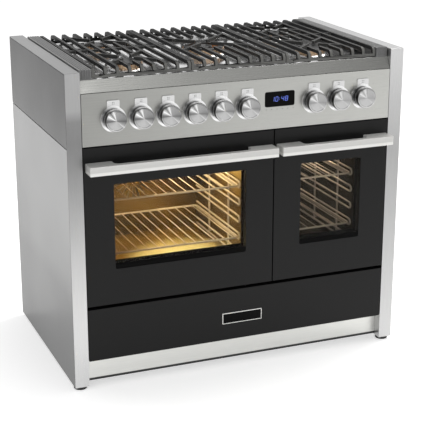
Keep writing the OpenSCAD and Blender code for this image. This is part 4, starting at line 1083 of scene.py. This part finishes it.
def addTabMarks():
    # A ring of small dots on each tab, in place of its symbol
    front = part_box("knob_bezels")[0][1]
    for index, (centreX, centreZ) in enumerate(knobCentres):
        pieces = []
        for step in range(tabMarks["count"]):
            turn = 2 * math.pi * (step + 0.5) / tabMarks["count"]
            spot = (
                centreX + tabMarks["radius"] * math.cos(turn), front - tabMarks["depth"] / 2,
                centreZ + tabMarks["rise"] + tabMarks["radius"] * math.sin(turn),
            )
            pieces.append(disc(spot, tabMarks["dot"], tabMarks["depth"], tabMarks["sides"], tabMarks["rim"]))
        body = bodyOf["knob_bezels"]
        finishPiece(joinAll(pieces), f"tab_mark_{index + 1}", materials["mark_ink"], body)


screws = {"radius": 0.0045, "depth": 0.0022, "rim": 0.0009, "sides": 20, "inset": 0.012, "columns": 5, "rows": 4}


def addScrews():
    # Pan heads along the edges of the back panel
    low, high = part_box("back_panel")
    inset, columns, rows = screws["inset"], screws["columns"], screws["rows"]
    pieces = []
    for column in range(columns):
        for row in range(rows):
            if 0 < column < columns - 1 and 0 < row < rows - 1:
                continue
            centre = (
                low[0] + inset + (high[0] - low[0] - 2 * inset) * column / (columns - 1),
                high[1] + screws["depth"] / 2,
                low[2] + inset + (high[2] - low[2] - 2 * inset) * row / (rows - 1),
            )
            pieces.append(disc(centre, screws["radius"], screws["depth"], screws["sides"], screws["rim"]))
    finishPiece(joinAll(pieces), "back_screws", materials["spindle_steel"], bodyOf["back_panel"])


addClockDigits()
addKeyMarks()
addBadge()
addTabMarks()
addScrews()
print("small pieces added")


# Oven light: lamps inside the two ovens

ovenLight = {
    # place and aim are shares of the oven's width, depth and height; a lamp with an aim is a spot
    "leftLamp": {
        "node": "main_oven_cavity", "place": (0.93, 0.80, 0.90), "power": 15.0, "colour": (1.0, 0.78, 0.34),
        "aim": (0.30, 0.45, 0.20), "angle": 150,
    },
    "leftFloorLamp": {
        "node": "main_oven_cavity", "place": (0.66, 0.55, 0.92), "power": 18.0, "colour": (1.0, 0.91, 0.66),
        "aim": (0.64, 0.25, 0.0), "angle": 62,
    },
    "leftTopGlow": {
        "node": "main_oven_cavity", "place": (0.55, 0.35, 0.86), "power": 2.6, "colour": (1.0, 0.80, 0.44),
    },
    "rightLamp": {
        "node": "second_oven_cavity", "place": (0.80, 0.84, 0.84), "power": 1.4, "colour": (1.0, 0.82, 0.58),
    },
}
ovenLampSize = 0.03    # metres


def addOvenLight():
    for name, lamp in ovenLight.items():
        low, high = (Vector(corner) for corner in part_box(lamp["node"]))
        data = bpy.data.lights.new(name, "SPOT" if "aim" in lamp else "POINT")
        data.shadow_soft_size = ovenLampSize
        data.energy = lamp["power"]
        data.color = lamp["colour"]
        obj = bpy.data.objects.new(name, data)
        scene.collection.objects.link(obj)
        obj.location = low + (high - low) * Vector(lamp["place"])
        if "aim" in lamp:
            data.spot_size = math.radians(lamp["angle"])
            data.spot_blend = 1.0
            target = low + (high - low) * Vector(lamp["aim"])
            obj.rotation_euler = (target - obj.location).to_track_quat("-Z", "Y").to_euler()


addOvenLight()
print("oven light added")
